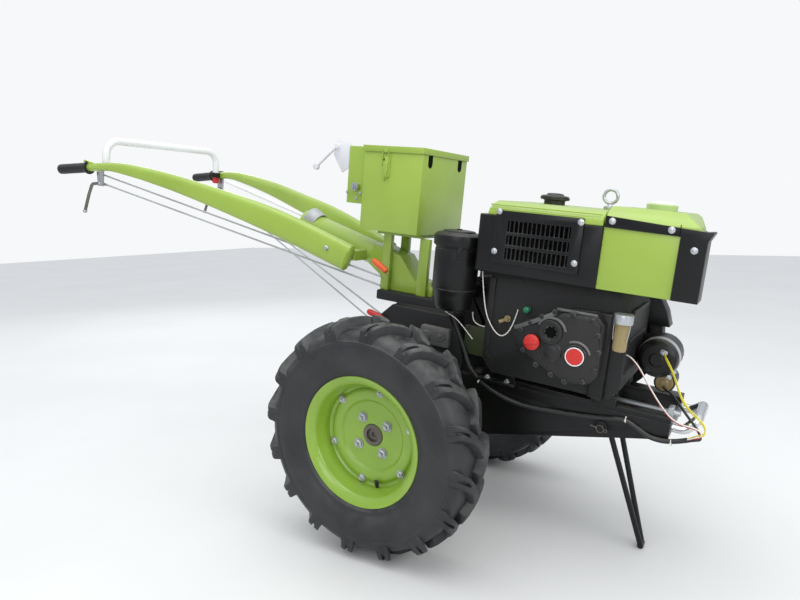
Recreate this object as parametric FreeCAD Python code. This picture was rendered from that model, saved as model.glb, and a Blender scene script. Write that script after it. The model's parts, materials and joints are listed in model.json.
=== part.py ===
"""Two-wheel walking tractor with a horizontal single-cylinder diesel engine.

The machine is drawn level: X forward from the axle, Y to the left, Z up from the axle's centre.
At the end every piece is tipped nose down, as the machine rests on its front stand, and lifted
so that the tyre lugs meet the ground at Z = 0. Lengths are in millimetres.
"""
import FreeCAD, Part
import math
import os

V = FreeCAD.Vector
os.makedirs("parts", exist_ok=True)

# Stance
NOSE_DOWN_DEG = 6.53

# Wheels: 6.00-12 lugged tyres
TYRE_R = 320.0
TREAD_R = 297.0
SHOULDER_FALL = 12.0
SHOULDER_IN = 16.0
TYRE_WALL = 11.0
TYRE_W = 150.0
TRACK = 740.0
LUGS_PER_SIDE = 16
LUG_REACH = 50.0
LUG_START = -6.0
RIM_FLANGE_R = 174.0
RIM_SEAT_R = 152.0
RIM_W = 122.0
RIM_SHEET = 4.0
DISC_SHEET = 6.0
DISC_STEP_R = 92.0
DISC_OUTER_Y = 3.0
DISC_INNER_Y = -7.0
HUB_R = 30.0
HUB_FLANGE_R = 74.0
HUB_FLANGE_T = 12.0
HUB_BACK = 70.0
AXLE_INSIDE = 150.0
HUB_END_PROUD = 3.0
AXLE_R = 24.0
SHAFT_CLEAR = 0.05
SEAT_CLEAR = 0.3

# Flats that stand for round surfaces
WHEEL_FLATS = 32
PULLEY_FLATS = 30
CAN_FLATS = 24
SMALL_FLATS = 16
ROD_SIDES = 12
BEND_CHORDS = 3

# Gearbox and axle housings
GEARBOX_W = 210.0
GEARBOX_FRONT = 118.0
GEARBOX_REAR = -168.0
GEARBOX_TOP = 330.0
AXLE_TUBE_R = 48.0
AXLE_TUBE_END_R = 62.0

# Drawbar clevis
HITCH_X = -232.0
HITCH_LOW = 112.0
HITCH_HIGH = 220.0
HITCH_EAR_T = 20.0
HITCH_BORE_R = 12.5

# Frame
FRAME_HALF_W = 130.0
FRAME_SHEET = 8.0
FRAME_TOP = 150.0
FRAME_FRONT = 682.0
FRAME_FRONT_BOTTOM = 111.0
FRAME_REAR_BOTTOM = -34.0
FRAME_FLANGE = 42.0
RAIL_W = 52.0
RAIL_T = 13.0
RAIL_REAR = 160.0

# Front stand
STAND_PIVOT_X = 525.0
STAND_PIVOT_Z = 99.0
STAND_LEAN_DEG = 20.3
STAND_ROD_R = 8.0
STAND_TUBE_GAP = 46.0
STAND_FOOT_HALF = 14.0
STAND_PIN_R = 9.0
STAND_TUBE_R = 14.0

# Front bumper
BUMPER_R = 12.5
BUMPER_HALF_W = 92.0
BUMPER_Z = 133.0
BUMPER_TIP_X = 748.0
BUMPER_TIP_Z = 158.0

# Engine
CRANK_X = 410.0
CRANK_Z = 288.0
BLOCK_RIGHT = -170.0
BLOCK_LEFT = 112.0
BLOCK_REAR = 205.0
BLOCK_FRONT = 562.0
BLOCK_TOP = 455.0
FOOT_T = 20.0
COVER_T = 68.0
HEAD_REAR = 98.0
HEAD_RIGHT = -78.0
HEAD_LEFT = 62.0
BEARING_R = 88.0
CRANK_R = 22.0
CLUTCH_SHAFT_R = 20.0
SHAFT_IN_BORE = 60.0
RUN_GAP = 5.0
FLYWHEEL_R = 193.0
FLYWHEEL_T = 54.0
FLYWHEEL_CLEAR = 6.0
HOOP_ROOM = 18.0
PULLEY_R = 72.0
PULLEY_W = 58.0
BELT_COUNT = 3
BELT_TOP_W = 16.0
BELT_DEPTH = 10.0
BELT_PITCH = 19.0
BELT_CLEAR = 0.6
BELT_SEAT = 2.7
CLUTCH_X = -14.0
CLUTCH_Z = 196.0
CLUTCH_R = 122.0
STARTER_R = 50.0
STARTER_X = 617.0
STARTER_Z = 277.0
STARTER_LENGTH = 165.0

# Radiator, hood and tank
TANK_RIGHT = -215.0
TANK_LEFT = 112.0
TANK_FRONT = 684.0
TANK_FAR_FRONT = 650.0
TANK_SWEEP_Y = -120.0
TANK_REAR = 482.0
TANK_BOTTOM = 456.0
TANK_TOP = 648.0
TANK_RIM = 600.0
BAND_T = 4.0
COVER_REAR = 645.0
COVER_FRONT = 700.0
COVER_FLANGE = 85.0
COVER_LIP_X = 709.0
HOOD_OUT = 6.0
HOOD_LOW = 601.0
HOOD_REAR = 195.0
HOOD_TOP = 637.0
SHROUD_REAR = 167.0
SHROUD_CORNER = 22.0
GRILLE_REAR = 222.0
GRILLE_FRONT = 438.0
GRILLE_BOTTOM = 484.0
GRILLE_TOP = 614.0
GRILLE_RECESS = 14.0
GRILLE_SLATS = 14

CAPS_Y = -60.0
EYE_X = 453.0
EYE_Z = 670.0
EYE_R = 21.0
EYE_BORE_R = 12.5
EYE_T = 9.0

# Exhaust
MUFFLER_X = 114.0
MUFFLER_Y = 36.0
MUFFLER_R = 44.0
MUFFLER_LOW = 452.0
MUFFLER_TOP = 590.0

# Belt guard
GUARD_CLEAR = 6.0
GUARD_DEPTH = 54.0
GUARD_SHEET = 3.0
GUARD_GROW = 18.0
GUARD_LOW = 66.0

# Air cleaner
CLEANER_X = 100.0
CLEANER_Y = -170.0
CLEANER_R = 62.0
CLEANER_TOP = 553.0

# Fuel filter
FILTER_X = 557.0
FILTER_Y = -228.0
FILTER_R = 16.0
FILTER_BOTTOM = 322.0
FILTER_TOP = 410.0

# Battery box
BOX_REAR = -259.0
BOX_FRONT = -60.0
BOX_RIGHT = -117.0
BOX_LEFT = 173.0
BOX_BOTTOM = 513.0
BOX_TOP = 757.0
BOX_SHEET = 3.0
LID_DROP = 14.0
LID_GAP = 1.0

# Handlebars
STEM_R = 38.0
STEM_BASE_W = 88.0
STEM_REAR_X = -560.0
STEM_REAR_Z = 503.0
STEM_FRONT_X = -175.0
STEM_FRONT_Z = 406.0
GRIP_X0 = -1330.0
GRIP_X1 = -1476.0
CROSSBAR_R = 13.5
CROSSBAR_X = -1285.0
CROSSBAR_HALF = 259.0
CROSSBAR_LOW = 612.0
CROSSBAR_TOP = 719.0


def box(x0, x1, y0, y1, z0, z1):
    return Part.makeBox(x1 - x0, y1 - y0, z1 - z0, V(x0, y0, z0))


def cylinder(start, end, radius):
    way = V(*end) - V(*start)
    return Part.makeCylinder(radius, way.Length, V(*start), way)


def across(x, z, y0, y1, radius):
    """Round bar along Y."""
    return Part.makeCylinder(radius, y1 - y0, V(x, y0, z), V(0, 1, 0))


def upright(x, y, z0, z1, radius):
    return Part.makeCylinder(radius, z1 - z0, V(x, y, z0), V(0, 0, 1))


def side_profile(points, y0, y1):
    """Plate or casting drawn from the side as (x, z) points and pushed from y0 to y1."""
    corners = [V(x, y0, z) for x, z in points]
    face = Part.Face(Part.makePolygon(corners + corners[:1]))
    return face.extrude(V(0, y1 - y0, 0))


def end_profile(points, x0, x1):
    """Sheet or casting drawn from the front as (y, z) points and pushed from x0 to x1."""
    corners = [V(x0, y, z) for y, z in points]
    face = Part.Face(Part.makePolygon(corners + corners[:1]))
    return face.extrude(V(x1 - x0, 0, 0))


def plan_profile(points, z0, z1):
    """Plate drawn from above as (x, y) points and pushed from z0 to z1."""
    corners = [V(x, y, z0) for x, y in points]
    face = Part.Face(Part.makePolygon(corners + corners[:1]))
    return face.extrude(V(0, 0, z1 - z0))


def ring_points(radius, station, flats, turn_deg=0.0):
    """Corners of one ring as (across, along, up) offsets; a ring of no radius is one point."""
    if radius < 0.001:
        return [(0.0, station, 0.0)]
    corners = []
    for k in range(flats):
        a = math.radians(turn_deg + 360.0 * k / flats)
        corners.append((radius * math.cos(a), station, radius * math.sin(a)))
    return corners


def closed_solid(faces):
    shell = Part.Shell(faces)
    solid = Part.Solid(shell)
    if solid.Volume < 0:
        solid.reverse()
    return solid


def flats_solid(points, flats, at, turn_deg=0.0):
    """Solid of plane flats between the rings of a closed outline; at() puts an offset in space."""
    rings = [[at(*p) for p in ring_points(r, y, flats, turn_deg)] for r, y in points]
    faces = []
    for first, second in zip(rings, rings[1:] + rings[:1]):
        for k in range(flats):
            corners = [first[k % len(first)], first[(k + 1) % len(first)]]
            corners += [second[(k + 1) % len(second)], second[k % len(second)]]
            loop = [c for i, c in enumerate(corners) if (c - corners[i - 1]).Length > 0.001]
            if len(loop) > 2:
                faces.append(Part.Face(Part.makePolygon(loop + loop[:1])))
    return closed_solid(faces).removeSplitter()


def turned(points, centre, flats=CAN_FLATS):
    """Solid of flats about the line along Y through centre, from (radius, y) points."""
    x, z = centre
    return flats_solid(points, flats, lambda out, way, up: V(x + out, way, z + up))


def turned_upright(points, centre, flats=CAN_FLATS):
    """Solid of flats about the upright line through centre, from (radius, z) points."""
    x, y = centre
    return flats_solid(points, flats, lambda out, way, up: V(x + out, y + up, way))


def drum(x, z, y0, y1, radius, flats=SMALL_FLATS):
    """Bar or boss along Y made of flats."""
    return turned([(0, y0), (radius, y0), (radius, y1), (0, y1)], (x, z), flats)


def post(x, y, z0, z1, radius, flats=SMALL_FLATS):
    """Upright bar or boss made of flats."""
    return turned_upright([(0, z0), (radius, z0), (radius, z1), (0, z1)], (x, y), flats)


def joined(shapes):
    whole = shapes[0]
    for shape in shapes[1:]:
        whole = whole.fuse(shape)
    return whole.removeSplitter()


def mirrored(shape):
    return shape.mirror(V(0, 0, 0), V(0, 1, 0))


def rounded_path(points, radii, chords=BEND_CHORDS):
    """Straight runs with each inner corner rounded by short chords, as a list of points."""
    points = [V(*p) for p in points]
    path = [points[0]]
    for before, corner, after, radius in zip(points, points[1:], points[2:], radii):
        way_in = (corner - before).normalize()
        way_out = (after - corner).normalize()
        turn = way_in.getAngle(way_out)
        centre_way = (way_out - way_in).normalize()
        centre = corner + centre_way * (radius / math.cos(turn / 2))
        start = corner - way_in * (radius * math.tan(turn / 2))
        arm = start - centre
        axis = way_in.cross(way_out).normalize()
        for k in range(chords + 1):
            spin = FreeCAD.Rotation(axis, math.degrees(turn) * k / chords)
            path.append(centre + spin.multVec(arm))
    return path + [points[-1]]


def bent_rod(points, radii, radius, sides=ROD_SIDES, chords=BEND_CHORDS):
    """Rod of flat sides along straight runs and rounded corners, mitred where the chords meet."""
    path = rounded_path(points, radii, chords)
    ways = [(b - a).normalize() for a, b in zip(path, path[1:])]
    out = V(0, 0, 1).cross(ways[0])
    out = (out if out.Length > 0.1 else V(0, 1, 0)).normalize()
    high = ways[0].cross(out)
    ring = []
    for k in range(sides):
        a = 2 * math.pi * (k + 0.5) / sides
        ring.append(path[0] + out * (radius * math.cos(a)) + high * (radius * math.sin(a)))
    rings = [ring]
    for i, corner in enumerate(path[1:], 1):
        way = ways[i - 1]
        mitre = way if i == len(ways) else (way + ways[i]).normalize()
        ring = [p + way * ((corner - p).dot(mitre) / way.dot(mitre)) for p in ring]
        rings.append(ring)
    faces = [Part.Face(Part.makePolygon(end + end[:1])) for end in (rings[0], rings[-1])]
    for first, second in zip(rings, rings[1:]):
        for k in range(sides):
            n = (k + 1) % sides
            faces.append(Part.Face(Part.makePolygon([first[k], first[n], second[n], second[k], first[k]])))
    return closed_solid(faces)


def loft_of_flats(sections):
    """Solid between like polygons, each side split in two plane triangles where it is twisted."""
    faces = [Part.Face(Part.makePolygon(end + end[:1])) for end in (sections[0], sections[-1])]
    for first, second in zip(sections, sections[1:]):
        for k in range(len(first)):
            n = (k + 1) % len(first)
            faces.append(Part.Face(Part.makePolygon([first[k], first[n], second[n], first[k]])))
            faces.append(Part.Face(Part.makePolygon([first[k], second[n], second[k], first[k]])))
    return closed_solid(faces)


def slot_section(centre, along, depth, width, chords=5):
    """Corners of an upright slot: two straight sides, two rounded ends, square to a direction."""
    along = V(*along).normalize()
    side = V(0, 0, 1).cross(along).normalize()
    up = along.cross(side).normalize()
    half = width / 2
    reach = depth / 2 - half
    corners = []
    for middle, first_deg in ((V(*centre) + up * reach, 0.0), (V(*centre) - up * reach, 180.0)):
        for k in range(chords + 1):
            a = math.radians(first_deg + 180.0 * k / chords)
            corners.append(middle + side * (half * math.cos(a)) + up * (half * math.sin(a)))
    return corners


def spun(shape, angle_deg, x=0.0, z=0.0):
    """Copy turned about the line along Y through (x, z)."""
    copy = shape.copy()
    copy.rotate(V(x, 0, z), V(0, 1, 0), angle_deg)
    return copy


# Wheels, drawn about the axle for the left side, where the outside faces +Y

WHEEL_Y = TRACK / 2
HALF_TYRE = TYRE_W / 2
HALF_RIM = RIM_W / 2


# Tyre's side from the rim's flange to the shoulder: share of its height, how far in from the widest place
SIDEWALL = [
    (0.0, 14.2), (0.25, 4.0), (0.52, 0.0), (0.78, 3.6),
]
WHEEL_TURN_DEG = -math.degrees(math.asin(LUG_REACH / TYRE_R)) - NOSE_DOWN_DEG


def sidewall():
    """Outline of the right half of the casing's outside as (radius, y from the middle) points."""
    height = TREAD_R - RIM_FLANGE_R
    points = [(RIM_SEAT_R + 0.4, HALF_RIM - 12.2)]
    points += [(RIM_FLANGE_R + share * height, HALF_TYRE - inset) for share, inset in SIDEWALL]
    return points + [(TREAD_R - SHOULDER_FALL, HALF_TYRE - SHOULDER_IN)]


def make_tyre():
    """Hollow casing between the rim's flanges, with the lugs grown out of its tread."""
    wall = TYRE_WALL
    outer = sidewall()
    widest = RIM_FLANGE_R + 0.52 * (TREAD_R - RIM_FLANGE_R)
    inner = [
        (TREAD_R - SHOULDER_FALL - wall, HALF_TYRE - SHOULDER_IN - wall), (widest, HALF_TYRE - wall),
        (RIM_SEAT_R + 0.4, HALF_RIM - 12.2 - wall),
    ]
    outline = [(r, WHEEL_Y - y) for r, y in outer] + [(TREAD_R, WHEEL_Y)]
    outline += [(r, WHEEL_Y + y) for r, y in reversed(outer)]
    outline += [(r, WHEEL_Y + y) for r, y in reversed(inner)] + [(TREAD_R - wall - 3, WHEEL_Y)]
    outline += [(r, WHEEL_Y - y) for r, y in inner]
    casing = turned(outline, (0, 0), WHEEL_FLATS)
    lug = make_lug()
    inner_lug = lug.mirror(V(0, WHEEL_Y, 0), V(0, 1, 0))
    pitch = 360.0 / LUGS_PER_SIDE
    lugs = []
    for i in range(LUGS_PER_SIDE):
        lugs.append(spun(lug, 180 + WHEEL_TURN_DEG + i * pitch))
        lugs.append(spun(inner_lug, 180 + WHEEL_TURN_DEG + (i + 0.5) * pitch))
    return casing.fuse(lugs)


def make_lug():
    """Tread bar from the middle of the tread to the shoulder and a little down the side.

    It is drawn at the top of the wheel; its middle end leads when the machine rolls forward.
    """
    top = math.sqrt(TYRE_R ** 2 - LUG_REACH ** 2)
    foot = TREAD_R
    side = HALF_TYRE - 0.5
    section = end_profile([
        (WHEEL_Y + LUG_START, foot - 11), (WHEEL_Y + 48, foot - 19), (WHEEL_Y + 62, foot - 29),
        (WHEEL_Y + 66, foot - 39), (WHEEL_Y + side, foot - 39), (WHEEL_Y + side, foot - 15),
        (WHEEL_Y + side - 6, top - 13), (WHEEL_Y + side - 24, top - 6), (WHEEL_Y + LUG_START, top),
    ], -LUG_REACH, LUG_REACH)
    bar = plan_profile([
        (LUG_REACH, WHEEL_Y + LUG_START), (12, WHEEL_Y + 30), (-14, WHEEL_Y + HALF_TYRE),
        (-LUG_REACH, WHEEL_Y + HALF_TYRE), (-22, WHEEL_Y + 30), (18, WHEEL_Y + LUG_START),
    ], 0, TYRE_R)
    return section.common(bar)


def make_rim():
    """Pressed drop-centre rim with its stepped disc welded in."""
    out = WHEEL_Y + HALF_RIM
    back = WHEEL_Y - HALF_RIM
    well_r = RIM_SEAT_R - 12
    outer = [(RIM_FLANGE_R, out), (RIM_SEAT_R, out - 12), (well_r, WHEEL_Y + 18), (well_r, WHEEL_Y - 18),
             (RIM_SEAT_R, back + 12), (RIM_FLANGE_R, back)]
    inner = [(r - RIM_SHEET, y) for r, y in reversed(outer)]
    band = turned(outer + inner, (0, 0), WHEEL_FLATS)
    face_out = WHEEL_Y + DISC_OUTER_Y
    step_out = WHEEL_Y + DISC_INNER_Y
    reach = well_r - RIM_SHEET + 1.0
    bore = AXLE_R + 6
    disc = turned([
        (bore, step_out), (DISC_STEP_R, step_out), (DISC_STEP_R + 5, face_out), (reach, face_out - 6),
        (reach, face_out - 6 - DISC_SHEET), (DISC_STEP_R, face_out - DISC_SHEET - 3),
        (bore, step_out - DISC_SHEET),
    ], (0, 0), WHEEL_FLATS)
    return joined([band, disc])


def make_hub():
    """Hub flange pressed on the axle's end; the hollow end shows in the middle of the disc."""
    back = WHEEL_Y + DISC_INNER_Y - DISC_SHEET
    boss_r = AXLE_R + 5.5
    end = back + DISC_SHEET + HUB_END_PROUD
    flange = turned([
        (0, back - HUB_BACK), (HUB_R + 8, back - HUB_BACK), (HUB_R + 8, back - HUB_FLANGE_T),
        (HUB_FLANGE_R, back - HUB_FLANGE_T), (HUB_FLANGE_R, back), (boss_r, back), (boss_r, end),
        (AXLE_R - 6, end), (AXLE_R - 6, end - 10), (0, end - 10),
    ], (0, 0))
    shaft = across(0, 0, back - AXLE_INSIDE, back - HUB_BACK + 4, AXLE_R)
    return joined([flange, shaft])


def make_axle_housing():
    """Cast tube from the gearbox out to the hub, bored for the axle."""
    start = GEARBOX_W / 2
    back = WHEEL_Y + DISC_INNER_Y - DISC_SHEET
    end = back - HUB_BACK - 5
    body = turned([
        (0, start), (AXLE_TUBE_END_R + 14, start), (AXLE_TUBE_END_R + 14, start + 14),
        (AXLE_TUBE_R, start + 34), (AXLE_TUBE_R, end - 40), (AXLE_TUBE_END_R, end - 26),
        (AXLE_TUBE_END_R, end), (0, end),
    ], (0, 0))
    return body.cut(across(0, 0, start - 1, end + 1, AXLE_R + SHAFT_CLEAR))


# Gearbox

def make_gearbox():
    lower = side_profile([
        (-96, -72), (-58, -104), (58, -104), (96, -72), (GEARBOX_FRONT, -20), (GEARBOX_FRONT, 188),
        (96, 250), (60, 300), (-128, 300), (GEARBOX_REAR, 262), (GEARBOX_REAR, 96), (-128, 40),
    ], -GEARBOX_W / 2, GEARBOX_W / 2)
    top = box(-206, 48, -78, 78, 300, GEARBOX_TOP)
    body = joined([lower, top])
    for side in (-1, 1):
        bore = across(0, 0, side * GEARBOX_W / 2 - 40, side * GEARBOX_W / 2 + 40, AXLE_R + 2)
        body = body.cut(bore)
    return body


# Frame

def frame_bottom(x):
    """Height of the side plate's lower edge, which rises towards the front."""
    points = [(GEARBOX_FRONT, FRAME_REAR_BOTTOM), (596, 90), (FRAME_FRONT, FRAME_FRONT_BOTTOM)]
    for (xa, za), (xb, zb) in zip(points, points[1:]):
        if x <= xb:
            return za + (zb - za) * (x - xa) / (xb - xa)
    return points[-1][1]


FRAME_REAR = GEARBOX_FRONT


def make_frame_side(side):
    """Side member: deep plate with its upper and lower edges turned inwards."""
    outline = [
        (FRAME_REAR, FRAME_REAR_BOTTOM), (596, frame_bottom(596)), (FRAME_FRONT, FRAME_FRONT_BOTTOM),
        (FRAME_FRONT, FRAME_TOP), (FRAME_REAR, FRAME_TOP),
    ]
    inner = FRAME_HALF_W - FRAME_SHEET
    y0, y1 = sorted((side * FRAME_HALF_W, side * inner))
    f0, f1 = sorted((side * FRAME_HALF_W, side * (FRAME_HALF_W - FRAME_FLANGE)))
    plate = side_profile(outline, y0, y1)
    top = box(FRAME_REAR, FRAME_FRONT - FRAME_SHEET, f0, f1, FRAME_TOP - FRAME_SHEET, FRAME_TOP)
    low = side_profile([
        (FRAME_REAR, FRAME_REAR_BOTTOM), (596, frame_bottom(596)), (596, frame_bottom(596) + FRAME_SHEET),
        (FRAME_REAR, FRAME_REAR_BOTTOM + FRAME_SHEET),
    ], f0, f1)
    member = joined([plate, top, low])
    reach = FRAME_HALF_W + 1
    hole = across(STAND_PIVOT_X, STAND_PIVOT_Z, -reach, reach, STAND_PIN_R + SHAFT_CLEAR)
    return member.cut(hole)


def make_frame_front():
    inner = FRAME_HALF_W - FRAME_SHEET
    return box(FRAME_FRONT - FRAME_SHEET, FRAME_FRONT, -inner, inner, FRAME_FRONT_BOTTOM, FRAME_TOP)


RAIL_TOP = FRAME_TOP + RAIL_T
RAIL_Y = FRAME_HALF_W - RAIL_W / 2


def make_rails():
    rails = []
    for side in (-1, 1):
        y = side * RAIL_Y
        rail = box(RAIL_REAR, FRAME_FRONT, y - RAIL_W / 2, y + RAIL_W / 2, FRAME_TOP, RAIL_TOP)
        for x in (232, 517):
            slot = box(x - 34, x + 34, y - 7, y + 7, FRAME_TOP - 1, RAIL_TOP + 1)
            rail = rail.cut(slot)
        rails.append(rail)
    return Part.makeCompound(rails)


def make_bumper():
    points = [
        (FRAME_FRONT, -BUMPER_HALF_W, BUMPER_Z), (BUMPER_TIP_X - 36, -BUMPER_HALF_W, BUMPER_Z),
        (BUMPER_TIP_X - BUMPER_R, -BUMPER_HALF_W + 22, BUMPER_TIP_Z),
        (BUMPER_TIP_X - BUMPER_R, BUMPER_HALF_W - 22, BUMPER_TIP_Z),
        (BUMPER_TIP_X - 36, BUMPER_HALF_W, BUMPER_Z), (FRAME_FRONT, BUMPER_HALF_W, BUMPER_Z),
    ]
    return bent_rod(points, [22, 22, 22, 22], BUMPER_R)


def stand_length():
    """Length from the pivot to the foot rod's middle that brings the rod down to the ground."""
    tip = math.radians(NOSE_DOWN_DEG)
    pivot_height = TYRE_R - STAND_PIVOT_X * math.sin(tip) + STAND_PIVOT_Z * math.cos(tip)
    return (pivot_height - STAND_ROD_R) / math.cos(math.radians(STAND_LEAN_DEG) - tip)


def make_stand():
    """Swinging prop: a cross tube, two legs that close towards each other and a foot bar."""
    lean = math.radians(STAND_LEAN_DEG)
    tube_half = FRAME_HALF_W - STAND_TUBE_GAP
    leg_top = tube_half - 24
    foot_x = STAND_PIVOT_X + stand_length() * math.sin(lean)
    foot_z = STAND_PIVOT_Z - stand_length() * math.cos(lean)
    drop = STAND_TUBE_R - 6
    top_x, top_z = STAND_PIVOT_X + drop * math.sin(lean), STAND_PIVOT_Z - drop * math.cos(lean)
    pieces = [
        drum(STAND_PIVOT_X, STAND_PIVOT_Z, -tube_half, tube_half, STAND_TUBE_R),
        across(foot_x, foot_z, -STAND_FOOT_HALF, STAND_FOOT_HALF, STAND_ROD_R),
    ]
    for side in (-1, 1):
        leg = [(top_x, side * leg_top, top_z), (foot_x, side * (STAND_FOOT_HALF - 2), foot_z)]
        pieces.append(bent_rod(leg, [], STAND_ROD_R - 0.5))
    bore = across(STAND_PIVOT_X, STAND_PIVOT_Z, -tube_half - 1, tube_half + 1, STAND_PIN_R + SHAFT_CLEAR)
    return joined(pieces).cut(bore)


def make_stand_pin():
    reach = FRAME_HALF_W + 12
    pin = across(STAND_PIVOT_X, STAND_PIVOT_Z, -reach, reach, STAND_PIN_R)
    washers = [drum(STAND_PIVOT_X, STAND_PIVOT_Z, y, y + 3, 17) for y in (-FRAME_HALF_W - 3, FRAME_HALF_W)]
    return joined([pin] + washers)


def make_tension_rod():
    z = RAIL_TOP + 9
    y = -RAIL_Y + 4
    rod = cylinder((548, y, z), (FRAME_FRONT + 16, y, z), 6.5)
    lug = box(FRAME_FRONT - 12, FRAME_FRONT, y - 16, y + 16, RAIL_TOP, z + 14)
    return joined([rod, lug])


# Engine

def make_block():
    """Crankcase with its feet, the joint plate for the cover and the crankshaft's bearing boss."""
    body = side_profile([
        (BLOCK_REAR, 218), (232, 186), (540, 186), (BLOCK_FRONT, 214), (BLOCK_FRONT, 402),
        (524, BLOCK_TOP),
        (BLOCK_REAR, BLOCK_TOP),
    ], BLOCK_RIGHT, BLOCK_LEFT)
    pieces = [body, box(BLOCK_REAR, BLOCK_REAR + 16, BLOCK_RIGHT - 8, BLOCK_LEFT + 6, 226, 438)]
    for z in (250, 330, 400):
        pieces.append(box(BLOCK_FRONT, BLOCK_FRONT + 6, BLOCK_RIGHT + 20, 40, z, z + 10))
    for x0, x1 in ((200, 262), (490, 545)):
        for side in (-1, 1):
            y0, y1 = sorted((side * 78, side * FRAME_HALF_W))
            pieces.append(box(x0, x1, y0, y1, RAIL_TOP, RAIL_TOP + FOOT_T))
            w0, w1 = sorted((side * 78, side * 92))
            pieces.append(box(x0 + 6, x1 - 6, w0, w1, RAIL_TOP, 240))
    pieces.append(drum(CRANK_X, CRANK_Z, BLOCK_LEFT - RUN_GAP, FLYWHEEL_IN - RUN_GAP, BEARING_R, CAN_FLATS))
    end = FLYWHEEL_IN - RUN_GAP - SHAFT_IN_BORE
    bore = across(CRANK_X, CRANK_Z, end, FLYWHEEL_IN, CRANK_R + SHAFT_CLEAR)
    return joined(pieces).cut(bore)


FLYWHEEL_IN = max(BLOCK_LEFT + HOOP_ROOM, FRAME_HALF_W) + FLYWHEEL_CLEAR
FLYWHEEL_OUT = FLYWHEEL_IN + FLYWHEEL_T
GUARD_Y = FLYWHEEL_OUT + PULLEY_W + GUARD_CLEAR


def pulley_profile(outer_r, y0, width):
    """Half outline of a grooved pulley as (radius, y) points."""
    points = [(0, y0), (outer_r, y0)]
    middle = y0 + width / 2
    for i in range(BELT_COUNT):
        y = middle + (i - (BELT_COUNT - 1) / 2) * BELT_PITCH
        top = BELT_TOP_W / 2 + BELT_CLEAR
        floor = top - 4.0
        depth = BELT_DEPTH + 3.0
        inner_r = outer_r - depth
        points += [(outer_r, y - top), (inner_r, y - floor), (inner_r, y + floor), (outer_r, y + top)]
    points += [(outer_r, y0 + width), (0, y0 + width)]
    return points


def make_flywheel():
    wheel = turned([
        (0, FLYWHEEL_IN), (70, FLYWHEEL_IN), (70, FLYWHEEL_IN + 22), (FLYWHEEL_R - 40, FLYWHEEL_IN + 22),
        (FLYWHEEL_R - 34, FLYWHEEL_IN), (FLYWHEEL_R, FLYWHEEL_IN), (FLYWHEEL_R, FLYWHEEL_OUT),
        (FLYWHEEL_R - 34, FLYWHEEL_OUT), (FLYWHEEL_R - 42, FLYWHEEL_OUT - 16),
        (PULLEY_R + 10, FLYWHEEL_OUT - 16),
        (PULLEY_R - 6, FLYWHEEL_OUT), (0, FLYWHEEL_OUT),
    ], (CRANK_X, CRANK_Z), PULLEY_FLATS)
    pulley = turned(pulley_profile(PULLEY_R, FLYWHEEL_OUT, PULLEY_W), (CRANK_X, CRANK_Z), PULLEY_FLATS)
    shaft = across(CRANK_X, CRANK_Z, FLYWHEEL_IN - SHAFT_IN_BORE, FLYWHEEL_IN, CRANK_R)
    return joined([wheel, pulley, shaft])


def make_clutch_pulley():
    y0 = FLYWHEEL_OUT
    pulley = turned(pulley_profile(CLUTCH_R, y0, PULLEY_W), (CLUTCH_X, CLUTCH_Z), PULLEY_FLATS)
    shaft = across(CLUTCH_X, CLUTCH_Z, y0 - SHAFT_IN_BORE, y0, CLUTCH_SHAFT_R)
    recess = turned([
        (44, y0 + PULLEY_W - 16), (CLUTCH_R - 22, y0 + PULLEY_W - 16), (CLUTCH_R - 20, y0 + PULLEY_W + 1),
        (44, y0 + PULLEY_W + 1),
    ], (CLUTCH_X, CLUTCH_Z), PULLEY_FLATS)
    return joined([pulley.cut(recess), shaft])


def make_clutch_housing():
    end = FLYWHEEL_OUT - RUN_GAP
    body = turned([
        (0, GEARBOX_W / 2), (78, GEARBOX_W / 2), (78, GEARBOX_W / 2 + 12), (60, GEARBOX_W / 2 + 24),
        (60, end), (0, end),
    ], (CLUTCH_X, CLUTCH_Z))
    bore = across(CLUTCH_X, CLUTCH_Z, end - SHAFT_IN_BORE, end + 1, CLUTCH_SHAFT_R + SHAFT_CLEAR)
    return body.cut(bore)


def loop_corners(grow, chords=12):
    """Corners of a loop round both pulleys; its chords keep outside an offset of their radius."""
    ra, rb = PULLEY_R + grow, CLUTCH_R + grow
    dx, dz = CLUTCH_X - CRANK_X, CLUTCH_Z - CRANK_Z
    heading = math.atan2(dz, dx)
    spread = math.acos((ra - rb) / math.hypot(dx, dz))
    corners = []
    for cx, cz, radius, first, arc in (
        (CLUTCH_X, CLUTCH_Z, rb, heading + spread, -2 * spread),
        (CRANK_X, CRANK_Z, ra, heading - spread, 2 * spread - 2 * math.pi),
    ):
        step = arc / chords
        outer = radius / math.cos(step / 2)
        corners.append((cx + radius * math.cos(first), cz + radius * math.sin(first)))
        for k in range(chords):
            a = first + (k + 0.5) * step
            corners.append((cx + outer * math.cos(a), cz + outer * math.sin(a)))
        corners.append((cx + radius * math.cos(first + arc), cz + radius * math.sin(first + arc)))
    return corners


def belt_loop(inner_grow, outer_grow, y0, y1):
    """Closed belt band around both pulleys between two offsets of their working radius."""
    outer = side_profile(loop_corners(outer_grow), y0, y1)
    return outer.cut(side_profile(loop_corners(inner_grow), y0 - 1, y1 + 1))


def make_belts():
    belts = []
    middle = FLYWHEEL_OUT + PULLEY_W / 2
    for i in range(BELT_COUNT):
        y = middle + (i - (BELT_COUNT - 1) / 2) * BELT_PITCH
        half = BELT_TOP_W / 2 - 4.2
        belts.append(belt_loop(-BELT_DEPTH - BELT_SEAT, 1.0, y - half, y + half))
    return Part.makeCompound(belts)


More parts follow.
